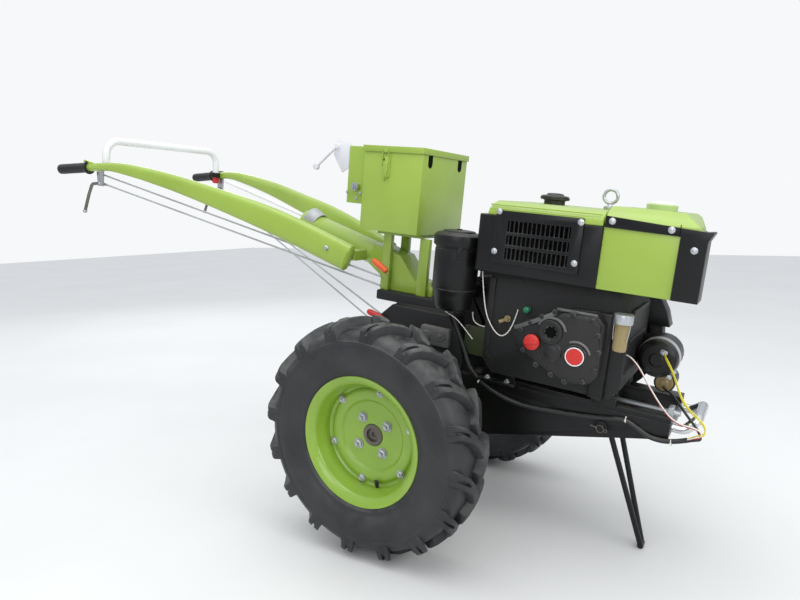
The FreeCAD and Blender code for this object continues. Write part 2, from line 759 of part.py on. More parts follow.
def make_belt_guard():
    """Pressed cover outside the belts, on a strap from the head and a foot on the frame."""
    y0 = GUARD_Y + GUARD_SHEET - GUARD_DEPTH
    y1 = GUARD_Y + GUARD_SHEET
    pressed = side_profile(loop_corners(GUARD_GROW, 12), y0, y1)
    hollow = side_profile(loop_corners(GUARD_GROW - GUARD_SHEET, 12), y0 - 1, GUARD_Y)
    low = GUARD_LOW + GUARD_SHEET
    hollow = hollow.common(box(-400, 700, y0 - 1, GUARD_Y, low, 600))
    pressed = pressed.common(box(-400, 700, y0, y1, GUARD_LOW, 600))
    foot = box(165, 200, FRAME_HALF_W, y0 + 12, 106, 114)
    web = box(165, 200, y0 + 2, y0 + 12, 106, 132)
    strap = box(148, 172, HEAD_LEFT, y0 + 12, 352, 360)
    tongue = box(148, 172, y0 + 2, y0 + 12, 340, 360)
    return joined([pressed.cut(hollow), foot, web.cut(hollow), strap, tongue.cut(hollow)])


def make_flywheel_guard():
    """Sheet hoop round the front of the flywheel, hung on the block's side."""
    r = FLYWHEEL_R + 16
    y0, y1 = FLYWHEEL_IN - 4, FLYWHEEL_OUT + 4
    ring = turned([(r, y0), (r + 3, y0), (r + 3, y1), (r, y1)], (CRANK_X, CRANK_Z), PULLEY_FLATS)
    back = turned([
        (BEARING_R + SEAT_CLEAR, y0 - 3), (r + 3, y0 - 3), (r + 3, y0), (BEARING_R + SEAT_CLEAR, y0),
    ], (CRANK_X, CRANK_Z), PULLEY_FLATS)
    keep = side_profile([
        (CRANK_X - 40, CRANK_Z + 60), (CRANK_X - 40, CRANK_Z + 260), (CRANK_X + 260, CRANK_Z + 260),
        (CRANK_X + 260, CRANK_Z + 46), (CRANK_X + 120, CRANK_Z + 46),
    ], y0 - 20, y1 + 20)
    return joined([ring, back]).common(keep)


def make_starter():
    """Starter motor with its round switch under it, on a bracket from the block's front."""
    y1 = FLYWHEEL_IN - 10
    y0 = y1 - STARTER_LENGTH
    motor = turned([
        (0, y0), (STARTER_R - 14, y0), (STARTER_R - 4, y0 + 8), (STARTER_R, y0 + 20),
        (STARTER_R, y1 - 40),
        (STARTER_R - 14, y1 - 30), (26, y1), (0, y1),
    ], (STARTER_X, STARTER_Z))
    switch = drum(STARTER_X + 22, STARTER_Z - 66, y0 + 46, y1 - 34, 26)
    web = box(STARTER_X - 14, STARTER_X + 34, y0 + 60, y1 - 44, STARTER_Z - 60, STARTER_Z - 30)
    bracket = box(BLOCK_FRONT, STARTER_X - 20, y1 - 62, y1 - 44, STARTER_Z - 40, STARTER_Z + 40)
    return joined([motor, switch, web, bracket])


def make_head():
    """Cylinder head behind the block, with its joint plate and the rocker cover at its end."""
    body = side_profile([
        (128, 246), (BLOCK_REAR, 232), (BLOCK_REAR, 430), (128, 420), (HEAD_REAR, 396), (HEAD_REAR, 268),
    ], HEAD_RIGHT, HEAD_LEFT)
    plate = box(BLOCK_REAR - 18, BLOCK_REAR, HEAD_RIGHT - 14, HEAD_LEFT + 14, 236, 436)
    rocker = side_profile([
        (HEAD_REAR, 300), (HEAD_REAR, 396), (76, 392), (66, 380), (66, 318), (76, 306),
    ], -60, 44)
    return joined([body, plate, rocker])


def make_muffler():
    """Upright drum silencer on a stub from the cylinder head's sloping top."""
    can = turned_upright([
        (0, MUFFLER_LOW), (MUFFLER_R - 8, MUFFLER_LOW), (MUFFLER_R, MUFFLER_LOW + 8),
        (MUFFLER_R, MUFFLER_TOP - 8),
        (MUFFLER_R - 8, MUFFLER_TOP), (0, MUFFLER_TOP),
    ], (MUFFLER_X, MUFFLER_Y))
    pipe = post(MUFFLER_X, MUFFLER_Y, 396, MUFFLER_LOW, 17)
    flange = box(MUFFLER_X - 20, MUFFLER_X + 30, MUFFLER_Y - 24, MUFFLER_Y + 24, 396, 426)
    outlet = post(MUFFLER_X, MUFFLER_Y, MUFFLER_TOP, MUFFLER_TOP + 22, 13)
    return joined([can, pipe, flange, outlet]).cut(make_head())


COVER_OUTLINE = [
    (304, 313), (322, 345), (425, 390), (502, 394), (518, 378), (518, 252), (500, 230), (452, 222),
    (398, 238), (345, 266), (312, 290),
]
COVER_MIDDLE = (420, 310)
START_X = 398.0
START_Z = 339.0


def grown(points, centre, share):
    """Outline pushed away from a middle point by a share of its distance."""
    cx, cz = centre
    return [(cx + (x - cx) * share, cz + (z - cz) * share) for x, z in points]


def make_cover():
    """Gear cover with its bolting rim, a bossed starting hole and a lower rim that stands proud."""
    face = BLOCK_RIGHT - COVER_T
    body = side_profile(COVER_OUTLINE, face + 6, BLOCK_RIGHT)
    raised = side_profile(grown(COVER_OUTLINE, COVER_MIDDLE, 0.94), face, face + 6)
    rim = side_profile(grown(COVER_OUTLINE, COVER_MIDDLE, 1.07), BLOCK_RIGHT - 12, BLOCK_RIGHT)
    boss = drum(START_X, START_Z, face - 8, face, 30)
    hole = drum(START_X, START_Z, face - 9, face + 14, 18)
    return joined([body, raised, rim, boss]).cut(hole)


def make_cover_caps():
    """Oil filler's knob and the round window on the cover."""
    face = BLOCK_RIGHT - COVER_T
    filler = drum(355, 305, face - 18, face, 20)
    disc = drum(463, 292, face - 5, face, 24)
    return Part.makeCompound([filler, disc])


def make_shroud():
    """Radiator's housing behind the grille, with a shallow recess in its right side for the slats."""
    right = TANK_RIGHT - HOOD_OUT
    rear, bend = SHROUD_REAR, SHROUD_CORNER
    body = plan_profile([
        (rear, TANK_LEFT), (rear, right + bend), (rear + 0.3 * bend, right + 0.3 * bend),
        (rear + bend, right),
        (TANK_REAR, right), (TANK_REAR, TANK_LEFT),
    ], TANK_BOTTOM, HOOD_LOW)
    recess = box(
        GRILLE_REAR + 26, GRILLE_FRONT - 20, right - 1, right + GRILLE_RECESS,
        GRILLE_BOTTOM + 6, HOOD_LOW - 8,
    )
    fan = drum(330, 500, TANK_LEFT, TANK_LEFT + 14, 40, PULLEY_FLATS)
    return joined([body.cut(recess), fan])


def make_grille():
    """Louvre plate bolted over the hood's skirt: a frame, upright slats and two rails."""
    y1 = TANK_RIGHT - HOOD_OUT
    y0 = y1 - 6
    left, right = GRILLE_REAR + 32, GRILLE_FRONT - 27
    low, high = GRILLE_BOTTOM + 12, HOOD_LOW - 10
    frame = box(GRILLE_REAR, GRILLE_FRONT, y0, y1, GRILLE_BOTTOM, GRILLE_TOP)
    frame = frame.cut(box(left, right, y0 - 1, y1 + 1, low, high))
    pieces = [frame]
    for i in range(GRILLE_SLATS):
        x = left + (right - left) * (i + 0.5) / GRILLE_SLATS
        pieces.append(box(x - 1.5, x + 1.5, y0 + 2, y1 + GRILLE_RECESS - 2, low - 2, high + 2))
    for k in (1, 2):
        z = low + (high - low) * k / 3
        pieces.append(box(left - 2, right + 2, y0 + 1, y0 + 5, z - 4, z + 4))
    return joined(pieces)


def make_hood():
    """Pressed cover over the radiator: skirts, two folds along each side and a tongue at the front."""
    r, l = TANK_RIGHT - HOOD_OUT, TANK_LEFT + HOOD_OUT
    cross = [
        (r, HOOD_LOW), (r, 620), (r + 8, 622), (r + 12, 629), (r + 40, HOOD_TOP), (l - 40, HOOD_TOP),
        (l - 12, 629), (l - 8, 622), (l, 620), (l, HOOD_LOW),
    ]
    hood = end_profile(cross, HOOD_REAR, TANK_REAR - 2)
    slope = side_profile([
        (HOOD_REAR, HOOD_LOW - 1), (TANK_REAR, HOOD_LOW - 1), (TANK_REAR, HOOD_TOP + 1),
        (HOOD_REAR + 9, HOOD_TOP + 1),
    ], r - 1, l + 1)
    return hood.common(slope)


def make_tank():
    """Fuel tank; its crown falls at the front and its front sweeps back to the left."""
    body = box(TANK_REAR, TANK_FRONT, TANK_RIGHT, TANK_LEFT, TANK_BOTTOM, TANK_RIM)
    r, l = TANK_RIGHT + 2, TANK_LEFT - 2
    cross = [
        (r, TANK_RIM), (r, 617), (r + 10, 629), (r + 42, TANK_TOP),
        (l - 42, TANK_TOP), (l - 10, 629), (l, 617), (l, TANK_RIM),
    ]
    crown = end_profile(cross, TANK_REAR, TANK_FRONT)
    nose = side_profile([
        (TANK_REAR, TANK_RIM), (TANK_FRONT, TANK_RIM), (TANK_FRONT, 612), (TANK_FRONT - 4, 620),
        (644, TANK_TOP - 2),
        (560, TANK_TOP), (TANK_REAR + 4, TANK_TOP), (TANK_REAR, TANK_TOP - 4),
    ], r, l)
    swept = plan_profile([
        (TANK_REAR, TANK_RIGHT), (TANK_FRONT, TANK_RIGHT), (TANK_FRONT, TANK_SWEEP_Y),
        (TANK_FAR_FRONT, TANK_LEFT), (TANK_REAR, TANK_LEFT),
    ], TANK_BOTTOM, TANK_TOP)
    return joined([body, crown.common(nose)]).common(swept)


def make_tank_frame():
    """Steel band round the tank's rim, with a cover sheet at the right front and its flared lip."""
    right, left = TANK_RIGHT - BAND_T, TANK_LEFT + BAND_T
    edge = right + COVER_FLANGE
    pieces = [
        box(COVER_REAR, COVER_FRONT, right, TANK_RIGHT, TANK_BOTTOM, 598),
        box(COVER_FRONT - BAND_T, COVER_FRONT, right, edge, TANK_BOTTOM, 598),
        side_profile([
            (TANK_REAR + 2, 600), (TANK_REAR + 2, 626), (COVER_FRONT, 611), (COVER_FRONT, 595),
        ], right, TANK_RIGHT),
        side_profile([
            (TANK_REAR + 2, 600), (TANK_REAR + 2, 626), (TANK_FAR_FRONT, 613), (TANK_FAR_FRONT, 597),
        ], TANK_LEFT, left),
        plan_profile([
            (TANK_FAR_FRONT - 30, right), (COVER_FRONT, right), (COVER_FRONT, edge),
            (TANK_FRONT + BAND_T, TANK_SWEEP_Y), (TANK_FAR_FRONT + BAND_T, left),
            (TANK_FAR_FRONT - 30, left),
        ], 597, 610),
        side_profile([
            (COVER_FRONT - 8, 590), (COVER_FRONT, 590), (COVER_LIP_X, 609), (COVER_LIP_X - 2, 612),
            (COVER_FRONT - 3, 611),
        ], right, edge),
    ]
    return joined(pieces).cut(make_tank())


def make_filler_caps():
    """Fuel tank's cap and the radiator's cap."""
    caps = []
    for x, seat, neck_r, cap_r, rise in ((576, TANK_TOP, 24, 36, 8), (312, HOOD_TOP, 22, 38, 12)):
        caps.append(turned_upright([
            (0, seat), (neck_r, seat), (neck_r, seat + rise), (cap_r, seat + rise + 1),
            (cap_r, seat + rise + 9),
            (cap_r - 5, seat + rise + 12), (0, seat + rise + 13),
        ], (x, CAPS_Y)))
    return Part.makeCompound(caps)


def make_lifting_eye():
    y0, y1 = CAPS_Y - EYE_T / 2, CAPS_Y + EYE_T / 2
    edge = EYE_T / 4
    ring = turned([
        (0, y0), (EYE_R - edge, y0), (EYE_R, y0 + edge), (EYE_R, y1 - edge), (EYE_R - edge, y1), (0, y1),
    ], (EYE_X, EYE_Z), SMALL_FLATS)
    stem = post(EYE_X, CAPS_Y, HOOD_TOP, EYE_Z - EYE_BORE_R - 2, 7, ROD_SIDES)
    return joined([ring, stem]).cut(across(EYE_X, EYE_Z, y0 - 1, y1 + 1, EYE_BORE_R))


def make_air_cleaner():
    """Oil-bath cleaner on its pipe from the cylinder head's side."""
    pipe = drum(CLEANER_X + 32, 388, CLEANER_Y + 20, HEAD_RIGHT, 22)
    can = turned_upright([
        (0, 330), (34, 330), (52, 346), (58, 372), (58, 404), (CLEANER_R, 412),
        (CLEANER_R, CLEANER_TOP - 30),
        (CLEANER_R + 4, CLEANER_TOP - 28), (CLEANER_R + 4, CLEANER_TOP - 8),
        (CLEANER_R - 4, CLEANER_TOP), (0, CLEANER_TOP),
    ], (CLEANER_X, CLEANER_Y))
    return joined([can, pipe])


def make_filter():
    head = joined([
        post(FILTER_X, FILTER_Y, 388, FILTER_TOP, 22),
        box(FILTER_X - 10, FILTER_X + 10, FILTER_Y, BLOCK_RIGHT, 392, 404),
    ])
    return head


def make_filter_bowl():
    return turned_upright([
        (0, FILTER_BOTTOM), (FILTER_R - 3, FILTER_BOTTOM), (FILTER_R, FILTER_BOTTOM + 4),
        (FILTER_R, 388), (0, 388),
    ], (FILTER_X, FILTER_Y))


# Handlebars

def make_stem():
    tube = cylinder((STEM_REAR_X, 0, STEM_REAR_Z), (STEM_FRONT_X, 0, STEM_FRONT_Z), STEM_R)
    base = side_profile([
        (-200, GEARBOX_TOP), (-30, GEARBOX_TOP), (-30, 352), (-96, 372), (-150, 440), (-250, 466),
        (-262, 400), (-220, 372),
    ], -STEM_BASE_W / 2, STEM_BASE_W / 2)
    beam = plan_profile([(-278, -100.8), (-278, 100.8), (-352, 113.0), (-352, -113.0)], 410, 440)
    return joined([tube, base, beam])


ARM_SECTIONS = [
    # x, y, z of the middle, depth, width
    (-282, -122, 416, 88, 40),
    (-560, -168, 510, 88, 40),
    (-743, -200, 548, 71, 38),
    (-930, -235, 593, 58, 34),
    (-1145, -266, 624, 42, 30),
    (-1225, -278, 630, 30, 28),
    (-1330, -293, 618, 30, 28),
]


def make_arm():
    stations = [V(x, y, z) for x, y, z, depth, width in ARM_SECTIONS]
    sections = []
    for i, (x, y, z, depth, width) in enumerate(ARM_SECTIONS):
        ahead = stations[max(i - 1, 0)]
        behind = stations[min(i + 1, len(stations) - 1)]
        sections.append(slot_section((x, y, z), tuple(behind - ahead), depth, width))
    return loft_of_flats(sections)


GRIP_START = (GRIP_X0 - SEAT_CLEAR, -293, 618)
GRIP_END = (GRIP_X1, -313.9, 601.3)


def make_grip():
    start, end = V(*GRIP_START), V(*GRIP_END)
    way = (end - start).normalize()
    near = start + way * 8
    pieces = [
        bent_rod([GRIP_START, tuple(end)], [], 18, SMALL_FLATS),
        bent_rod([GRIP_START, tuple(near)], [], 24, SMALL_FLATS),
    ]
    return joined(pieces)


def make_crossbar():
    """White carrying bar: two legs against the arms' inner sides and the bar between them."""
    leg = CROSSBAR_HALF
    points = [
        (CROSSBAR_X, -leg, CROSSBAR_LOW), (CROSSBAR_X, -leg, CROSSBAR_TOP),
        (CROSSBAR_X, leg, CROSSBAR_TOP),
        (CROSSBAR_X, leg, CROSSBAR_LOW),
    ]
    return bent_rod(points, [50, 50], CROSSBAR_R)


def make_lever():
    """Steering lever under the grip."""
    lever = bent_rod([
        (-1280, -284, 566), (-1330, -284, 560), (-1350, -284, 520), (-1376, -284, 452),
    ], [16, 30], 6)
    bracket = side_profile([(-1298, 606.2), (-1262, 610.3), (-1266, 556), (-1292, 556)], -288, -280)
    return joined([lever, bracket])


ROD_RUNS = [
    # start under the grip, end at the gearbox
    ((-1286, -276.7, 598), (-190, -81.3, 372)),
    ((-1282, -274.7, 565.5), (-190, -81.3, 344)),
    ((-1282, 274.7, 566), (GEARBOX_REAR - 2, 82, 165)),
    ((-1290, 274.7, 564), (GEARBOX_REAR - 2, 84, 112)),
]
ROD_R = 3.0


def make_rods():
    return Part.makeCompound([cylinder(start, end, ROD_R) for start, end in ROD_RUNS])


def make_brake_rod():
    return cylinder((-1180, 222, 602), (-540, 45.4, 500), 7)


# Wiring

LOOM_R = 6.0
LOOM_Y = -FRAME_HALF_W - LOOM_R
WIRE_R = 1.5
LOOM_ROUTE = [
    # from under the battery box down past the gearbox, then along the frame's side to the nose
    (-30, -40, 494), (10, -52, 452), (42, -66, 372), (66, -96, 318), (96, -113, 268), (128, -116, 214),
    (156, LOOM_Y, 174), (190, LOOM_Y, 143), (250, LOOM_Y, 116), (314, LOOM_Y, 103), (420, LOOM_Y, 111),
    (522, LOOM_Y, 124), (578, LOOM_Y, 138), (612, LOOM_Y, 122), (644, LOOM_Y, 106), (690, LOOM_Y, 109),
    (724, LOOM_Y, 125),
]
WIRE_ROUTES = [
    # from the block's front, the starter's end and the starter's switch to the loom's end
    [(562.1, -150, 300), (582, -151, 296), (640, -160, 216), (690, -156, 162), (744, -148, 160),
     (754, -140, 141), (736.8, -138.6, 133.2),
     (723.15, -138.6, 126.8)],
    [(634, -39.1, 296), (634, -58, 296), (664, -80, 262), (700, -112, 196), (752, -128, 168),
     (760, -132, 144), (736.8, -133.4, 133.2),
     (723.15, -133.4, 126.8)],
    [(640, 6.9, 202), (640, -14, 202), (668, -60, 206), (704, -112, 184), (744, -124, 148),
     (752, -133, 132), (738.8, -136, 128.9),
     (725.2, -136, 122.5)],
    # a loop under the radiator to the cover's top
    [(186, -190, TANK_BOTTOM - 0.2), (200, -190, 360), (228, -186, 306), (258, -184, 286),
     (282, -182, 318), (288, -171.6, 366)],
]


def soft_radii(points, most):
    """Bend radius at each inner corner: as wide as the shorter run beside it allows."""
    radii = []
    for before, corner, after in zip(points, points[1:], points[2:]):
        way_in, way_out = V(*corner) - V(*before), V(*after) - V(*corner)
        half_turn = way_in.getAngle(way_out) / 2
        shorter = min(way_in.Length, way_out.Length)
        radii.append(min(most, 0.45 * shorter / max(math.tan(half_turn), 0.01)))
    return radii


def make_loom():
    """Corrugated sleeve that carries the wiring from the battery to the engine's front."""
    return bent_rod(LOOM_ROUTE, soft_radii(LOOM_ROUTE, 120), LOOM_R, 8, 2)


def make_wires():
    return Part.makeCompound([bent_rod(run, soft_radii(run, 40), WIRE_R, 6, 2) for run in WIRE_ROUTES])


# Battery box

def make_bracket():
    top = box(BOX_REAR + 30, BOX_FRONT - 12, -62, 62, BOX_BOTTOM - 12, BOX_BOTTOM)
    posts = []
    inner = STEM_BASE_W / 2 + SEAT_CLEAR
    for x0, x1 in ((-204, -176), (-76, -44)):
        for y0, y1 in ((-62, -inner), (inner, 62)):
            posts.append(box(x0, x1, y0, y1, GEARBOX_TOP, BOX_BOTTOM - 12))
    return joined([top] + posts)


def make_battery_box():
    outer = box(BOX_REAR, BOX_FRONT, BOX_RIGHT, BOX_LEFT, BOX_BOTTOM, BOX_TOP)
    t = BOX_SHEET
    inner = box(BOX_REAR + t, BOX_FRONT - t, BOX_RIGHT + t, BOX_LEFT - t, BOX_BOTTOM + t, BOX_TOP + 1)
    return outer.cut(inner)


HINGE_Y = BOX_LEFT + LID_GAP + BOX_SHEET + 4.0
HINGE_Z = BOX_TOP - LID_DROP - 2.0
HINGE_R = 4.0
HINGE_PIN_R = 2.0
HINGE_XS = (BOX_REAR + 45.0, BOX_FRONT - 45.0)
KNUCKLE = 14.0


def along(x0, x1, y, z, radius):
    """Round bar along X."""
    return Part.makeCylinder(radius, x1 - x0, V(x0, y, z), V(1, 0, 0))


def make_lid():
    """Pressed lid with a turned-down edge all round and a knuckle for each hinge."""
    g = LID_GAP
    t = BOX_SHEET
    outer = box(BOX_REAR - g - t, BOX_FRONT + g + t, BOX_RIGHT - g - t, BOX_LEFT + g + t,
                BOX_TOP - LID_DROP, BOX_TOP + t + SEAT_CLEAR)
    inner = box(
        BOX_REAR - g, BOX_FRONT + g, BOX_RIGHT - g, BOX_LEFT + g,
        BOX_TOP - LID_DROP - 1, BOX_TOP + SEAT_CLEAR,
    )
    lid = outer.cut(inner)
    for x in HINGE_XS:
        knuckle = along(x - KNUCKLE, x + KNUCKLE, HINGE_Y, HINGE_Z, HINGE_R)
        leaf = box(x - KNUCKLE, x + KNUCKLE, HINGE_Y - 4, HINGE_Y + 1, HINGE_Z + 2.6, HINGE_Z + 8)
        bore = along(x - 50, x + 50, HINGE_Y, HINGE_Z, HINGE_PIN_R + SHAFT_CLEAR)
        lid = joined([lid, knuckle, leaf]).cut(bore)
    return lid


def make_box_fittings():
    """Hinges against the box's far side, each with pin and knuckles, and the near side's latch."""
    hinges = []
    for x in HINGE_XS:
        pin = along(x - 2 * KNUCKLE, x + 2 * KNUCKLE, HINGE_Y, HINGE_Z, HINGE_PIN_R)
        pieces = [pin]
        for x0, x1 in ((x - 2 * KNUCKLE, x - KNUCKLE - 0.3), (x + KNUCKLE + 0.3, x + 2 * KNUCKLE)):
            pieces.append(along(x0, x1, HINGE_Y, HINGE_Z, HINGE_R))
            pieces.append(box(x0, x1, BOX_LEFT, HINGE_Y, HINGE_Z - 6, HINGE_Z - 2.4))
        reach = 2 * KNUCKLE
        pieces.append(box(x - reach, x + reach, BOX_LEFT, BOX_LEFT + 2.5, HINGE_Z - 30, HINGE_Z - 5))
        hinges.append(joined(pieces))
    plate = box(-184, -166, BOX_RIGHT - 3, BOX_RIGHT, 672, 736)
    handle = side_profile([
        (-181, 730), (-169, 730), (-171, 690), (-175, 664), (-179, 690),
    ], BOX_RIGHT - 11, BOX_RIGHT - 3)
    return Part.makeCompound(hinges + [joined([plate, handle])])


def make_battery():
    return box(
        BOX_REAR + 12, BOX_FRONT - 12, BOX_RIGHT + 18, BOX_LEFT - 18,
        BOX_BOTTOM + BOX_SHEET, BOX_BOTTOM + 186,
    )


def make_hitch():
    """Drawbar clevis on the gearbox's back: two ears bored for an upright pin."""
    plate = box(GEARBOX_REAR - 18, GEARBOX_REAR, -62, 62, 100, 232)
    pieces = [plate]
    for z in (HITCH_LOW, HITCH_HIGH - HITCH_EAR_T):
        pieces.append(plan_profile([
            (GEARBOX_REAR, -52), (GEARBOX_REAR, 52), (HITCH_X, 34), (HITCH_X - 26, 18),
            (HITCH_X - 26, -18), (HITCH_X, -34),
        ], z, z + HITCH_EAR_T))
    bore = upright(HITCH_X, 0, HITCH_LOW - 1, HITCH_HIGH + 1, HITCH_BORE_R)
    return joined(pieces).cut(bore)


def make_switch_box():
    body = box(-330, BOX_REAR - LID_GAP - BOX_SHEET - 5, -96, 60, 586, BOX_TOP)
    seat = box(BOX_REAR - LID_GAP - BOX_SHEET - 5, BOX_REAR, -80, 44, 600, BOX_TOP - LID_DROP - 8)
    knob = drum(-292, 636, -110, -96, 13)
    return joined([body, seat, knob])


def make_throttle():
    """Speed lever on its pale plate at the rear of the switch box."""
    plate = side_profile([(-330, 692), (-330, 766), (-380, 771), (-393, 728), (-356, 675)], -92, -88)
    pivot = drum(-380, 753, -98, -84, 8)
    arm = cylinder((-380, -94, 753), (-455, -94, 688), 4.5)
    eye = drum(-456, 687, -99, -89, 10)
    return joined([plate, pivot, arm, eye])


# Assembly

shapes = {
    "tyre_left": make_tyre(),
    "rim_left": make_rim(),
    "hub_left": make_hub(),
    "axle_housing_left": make_axle_housing(),
    "gearbox": make_gearbox(),
    "frame_side_right": make_frame_side(-1),
    "frame_side_left": make_frame_side(1),
    "frame_front": make_frame_front(),
    "engine_rails": make_rails(),
    "front_bumper": make_bumper(),
    "stand": make_stand(),
    "stand_pin": make_stand_pin(),
    "tension_rod": make_tension_rod(),
    "engine_block": make_block(),
    "flywheel": make_flywheel(),
    "clutch_pulley": make_clutch_pulley(),
    "clutch_housing": make_clutch_housing(),
    "hitch": make_hitch(),
    "v_belts": make_belts(),
    "flywheel_guard": make_flywheel_guard(),
    "belt_guard": make_belt_guard(),
    "muffler": make_muffler(),
    "starter_motor": make_starter(),
    "cylinder_head": make_head(),
    "gear_cover": make_cover(),
    "cover_caps": make_cover_caps(),
    "radiator_shroud": make_shroud(),
    "grille": make_grille(),
    "hood": make_hood(),
    "fuel_tank": make_tank(),
    "tank_frame": make_tank_frame(),
    "filler_caps": make_filler_caps(),
    "lifting_eye": make_lifting_eye(),
    "air_cleaner": make_air_cleaner(),
    "filter_head": make_filter(),
    "filter_bowl": make_filter_bowl(),
    "handle_stem": make_stem(),
    "handle_arm_right": make_arm(),
    "crossbar": make_crossbar(),
    "control_rods": make_rods(),
    "brake_rod": make_brake_rod(),
    "cable_loom": make_loom(),
    "thin_wires": make_wires(),
    "box_bracket": make_bracket(),
    "battery_box": make_battery_box(),
    "battery_lid": make_lid(),
    "box_fittings": make_box_fittings(),
    "battery": make_battery(),
    "switch_box": make_switch_box(),
    "throttle_lever": make_throttle(),
}
for name in ("tyre", "rim", "hub", "axle_housing"):
    shapes[name + "_right"] = mirrored(shapes[name + "_left"])
shapes["handle_arm_left"] = mirrored(shapes["handle_arm_right"])
grip, lever = make_grip(), make_lever()
shapes["grips"] = Part.makeCompound([grip, mirrored(grip)])
shapes["steering_levers"] = Part.makeCompound([lever, mirrored(lever)])


def stood(shape):
    """Tip the level machine nose down on its wheels and set it on the ground."""
    copy = shape.copy()
    copy.rotate(V(0, 0, 0), V(0, 1, 0), NOSE_DOWN_DEG)
    copy.translate(V(0, 0, TYRE_R))
    return copy


for name, shape in shapes.items():
    shapes[name] = stood(shape)

rear_end = shapes["grips"].optimalBoundingBox(False).XMin
front_end = shapes["front_bumper"].optimalBoundingBox(False).XMax
SHIFT = V(-(rear_end + front_end) / 2, 0, 0)

for name, shape in sorted(shapes.items()):
    shape.translate(SHIFT)
    shape.exportStep("parts/" + name + ".step")
    solids = len(shape.Solids)
    print(f"{name:20s} solids {solids} valid {shape.isValid()} volume {shape.Volume / 1000:.1f} cm3")


def row_point(x, y, z):
    turn = math.radians(NOSE_DOWN_DEG)
    across_x = x * math.cos(turn) + z * math.sin(turn)
    height = TYRE_R - x * math.sin(turn) + z * math.cos(turn)
    return [round((across_x + SHIFT.x) / 1000, 6), round(y / 1000, 6), round(height / 1000, 6)]


print("shift", SHIFT.x)
print("wheels", row_point(0, 0, 0))
print("stand pivot", row_point(STAND_PIVOT_X, 0, STAND_PIVOT_Z))
print("crank", row_point(CRANK_X, FLYWHEEL_OUT, CRANK_Z))
print("clutch", row_point(CLUTCH_X, FLYWHEEL_OUT, CLUTCH_Z))
print("lid hinge", row_point((BOX_REAR + BOX_FRONT) / 2, HINGE_Y, HINGE_Z))
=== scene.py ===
# %% [markdown]
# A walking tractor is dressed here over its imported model. The model gives every size and place,
# so each piece below starts from a corner, a pivot or a box that the frame already holds.

# %% Load the frame
import json
import math

import bmesh
import bpy
from mathutils import Matrix, Vector


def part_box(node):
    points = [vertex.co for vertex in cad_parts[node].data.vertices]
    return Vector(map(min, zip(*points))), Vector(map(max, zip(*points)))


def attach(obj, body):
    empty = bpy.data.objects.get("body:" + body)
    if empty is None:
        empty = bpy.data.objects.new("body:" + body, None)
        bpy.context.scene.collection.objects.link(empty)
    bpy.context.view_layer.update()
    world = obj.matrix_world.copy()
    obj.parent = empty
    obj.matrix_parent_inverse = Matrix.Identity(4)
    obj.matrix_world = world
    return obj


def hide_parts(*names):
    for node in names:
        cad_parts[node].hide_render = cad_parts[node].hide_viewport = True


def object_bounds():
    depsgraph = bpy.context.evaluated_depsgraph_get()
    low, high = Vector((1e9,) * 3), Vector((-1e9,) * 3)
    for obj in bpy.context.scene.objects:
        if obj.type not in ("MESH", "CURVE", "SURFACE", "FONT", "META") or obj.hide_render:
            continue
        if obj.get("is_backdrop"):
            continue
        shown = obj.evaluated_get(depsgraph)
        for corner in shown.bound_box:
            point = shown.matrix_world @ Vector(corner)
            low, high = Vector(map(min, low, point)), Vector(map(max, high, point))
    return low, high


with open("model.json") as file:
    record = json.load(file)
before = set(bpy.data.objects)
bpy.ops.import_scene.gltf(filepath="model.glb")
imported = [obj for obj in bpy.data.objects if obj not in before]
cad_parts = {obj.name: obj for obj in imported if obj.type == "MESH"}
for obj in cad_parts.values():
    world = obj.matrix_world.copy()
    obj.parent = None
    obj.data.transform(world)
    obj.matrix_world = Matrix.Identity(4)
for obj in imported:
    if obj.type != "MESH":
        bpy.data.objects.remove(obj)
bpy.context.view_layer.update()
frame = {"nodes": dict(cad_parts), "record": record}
nodes = frame["nodes"]

# %% [markdown]
# The machine stands nose down on its front stand, but its parts were drawn level about the axle.
# One matrix turns level millimetres into metres on the ground. The axle's height is the tyre's
# radius, and the wheel's box gives where the axle is along the ground.

# %% From the level machine to the ground
TILT = math.radians(6.53)
wheel_low, wheel_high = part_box("rim_left")
AXLE = Vector(((wheel_low.x + wheel_high.x) / 2, 0.0, 0.32))
LEVEL = Matrix.Translation(AXLE) @ Matrix.Rotation(TILT, 4, "Y") @ Matrix.Scale(0.001, 4)


def place(x, y, z):
    """Point of the level machine, in millimetres, as a point of the scene in metres."""
    return LEVEL @ Vector((x, y, z))


print("axle", [round(v, 4) for v in AXLE])

# %% [markdown]
# The camera repeats the photograph's viewpoint: about one and a half metres off the right front
# corner, a little above the engine, looking back and down.

# %% Camera
VIEW_YAW, VIEW_PITCH, VIEW_ROLL = 0.5402, 0.1287, -0.0133
camera = bpy.data.objects.new("camera", bpy.data.cameras.new("camera"))
bpy.context.collection.objects.link(camera)
camera.data.sensor_width = 36.0
camera.data.lens = 27.97
away = Vector((-math.sin(VIEW_YAW) * math.cos(VIEW_PITCH), math.cos(VIEW_YAW) * math.cos(VIEW_PITCH),
               -math.sin(VIEW_PITCH)))
side = Vector((math.cos(VIEW_YAW), math.sin(VIEW_YAW), 0.0))
over = side.cross(away)
side_turned = side * math.cos(VIEW_ROLL) + over * math.sin(VIEW_ROLL)
over_turned = over * math.cos(VIEW_ROLL) - side * math.sin(VIEW_ROLL)
turn = Matrix((side_turned, over_turned, -away)).transposed().to_4x4()
camera.matrix_world = Matrix.Translation((AXLE.x + 0.8801, -1.6826, 0.8839)) @ turn
camera.data.clip_end = 100.0
bpy.context.scene.camera = camera
print("lens", camera.data.lens)

# %% [markdown]
# Outdoor overcast light has no hard shadows. A sky that is darker towards the horizon does most of
# the work, a wide lamp overhead gives the tops their brightness, and weaker ones fill the sides.

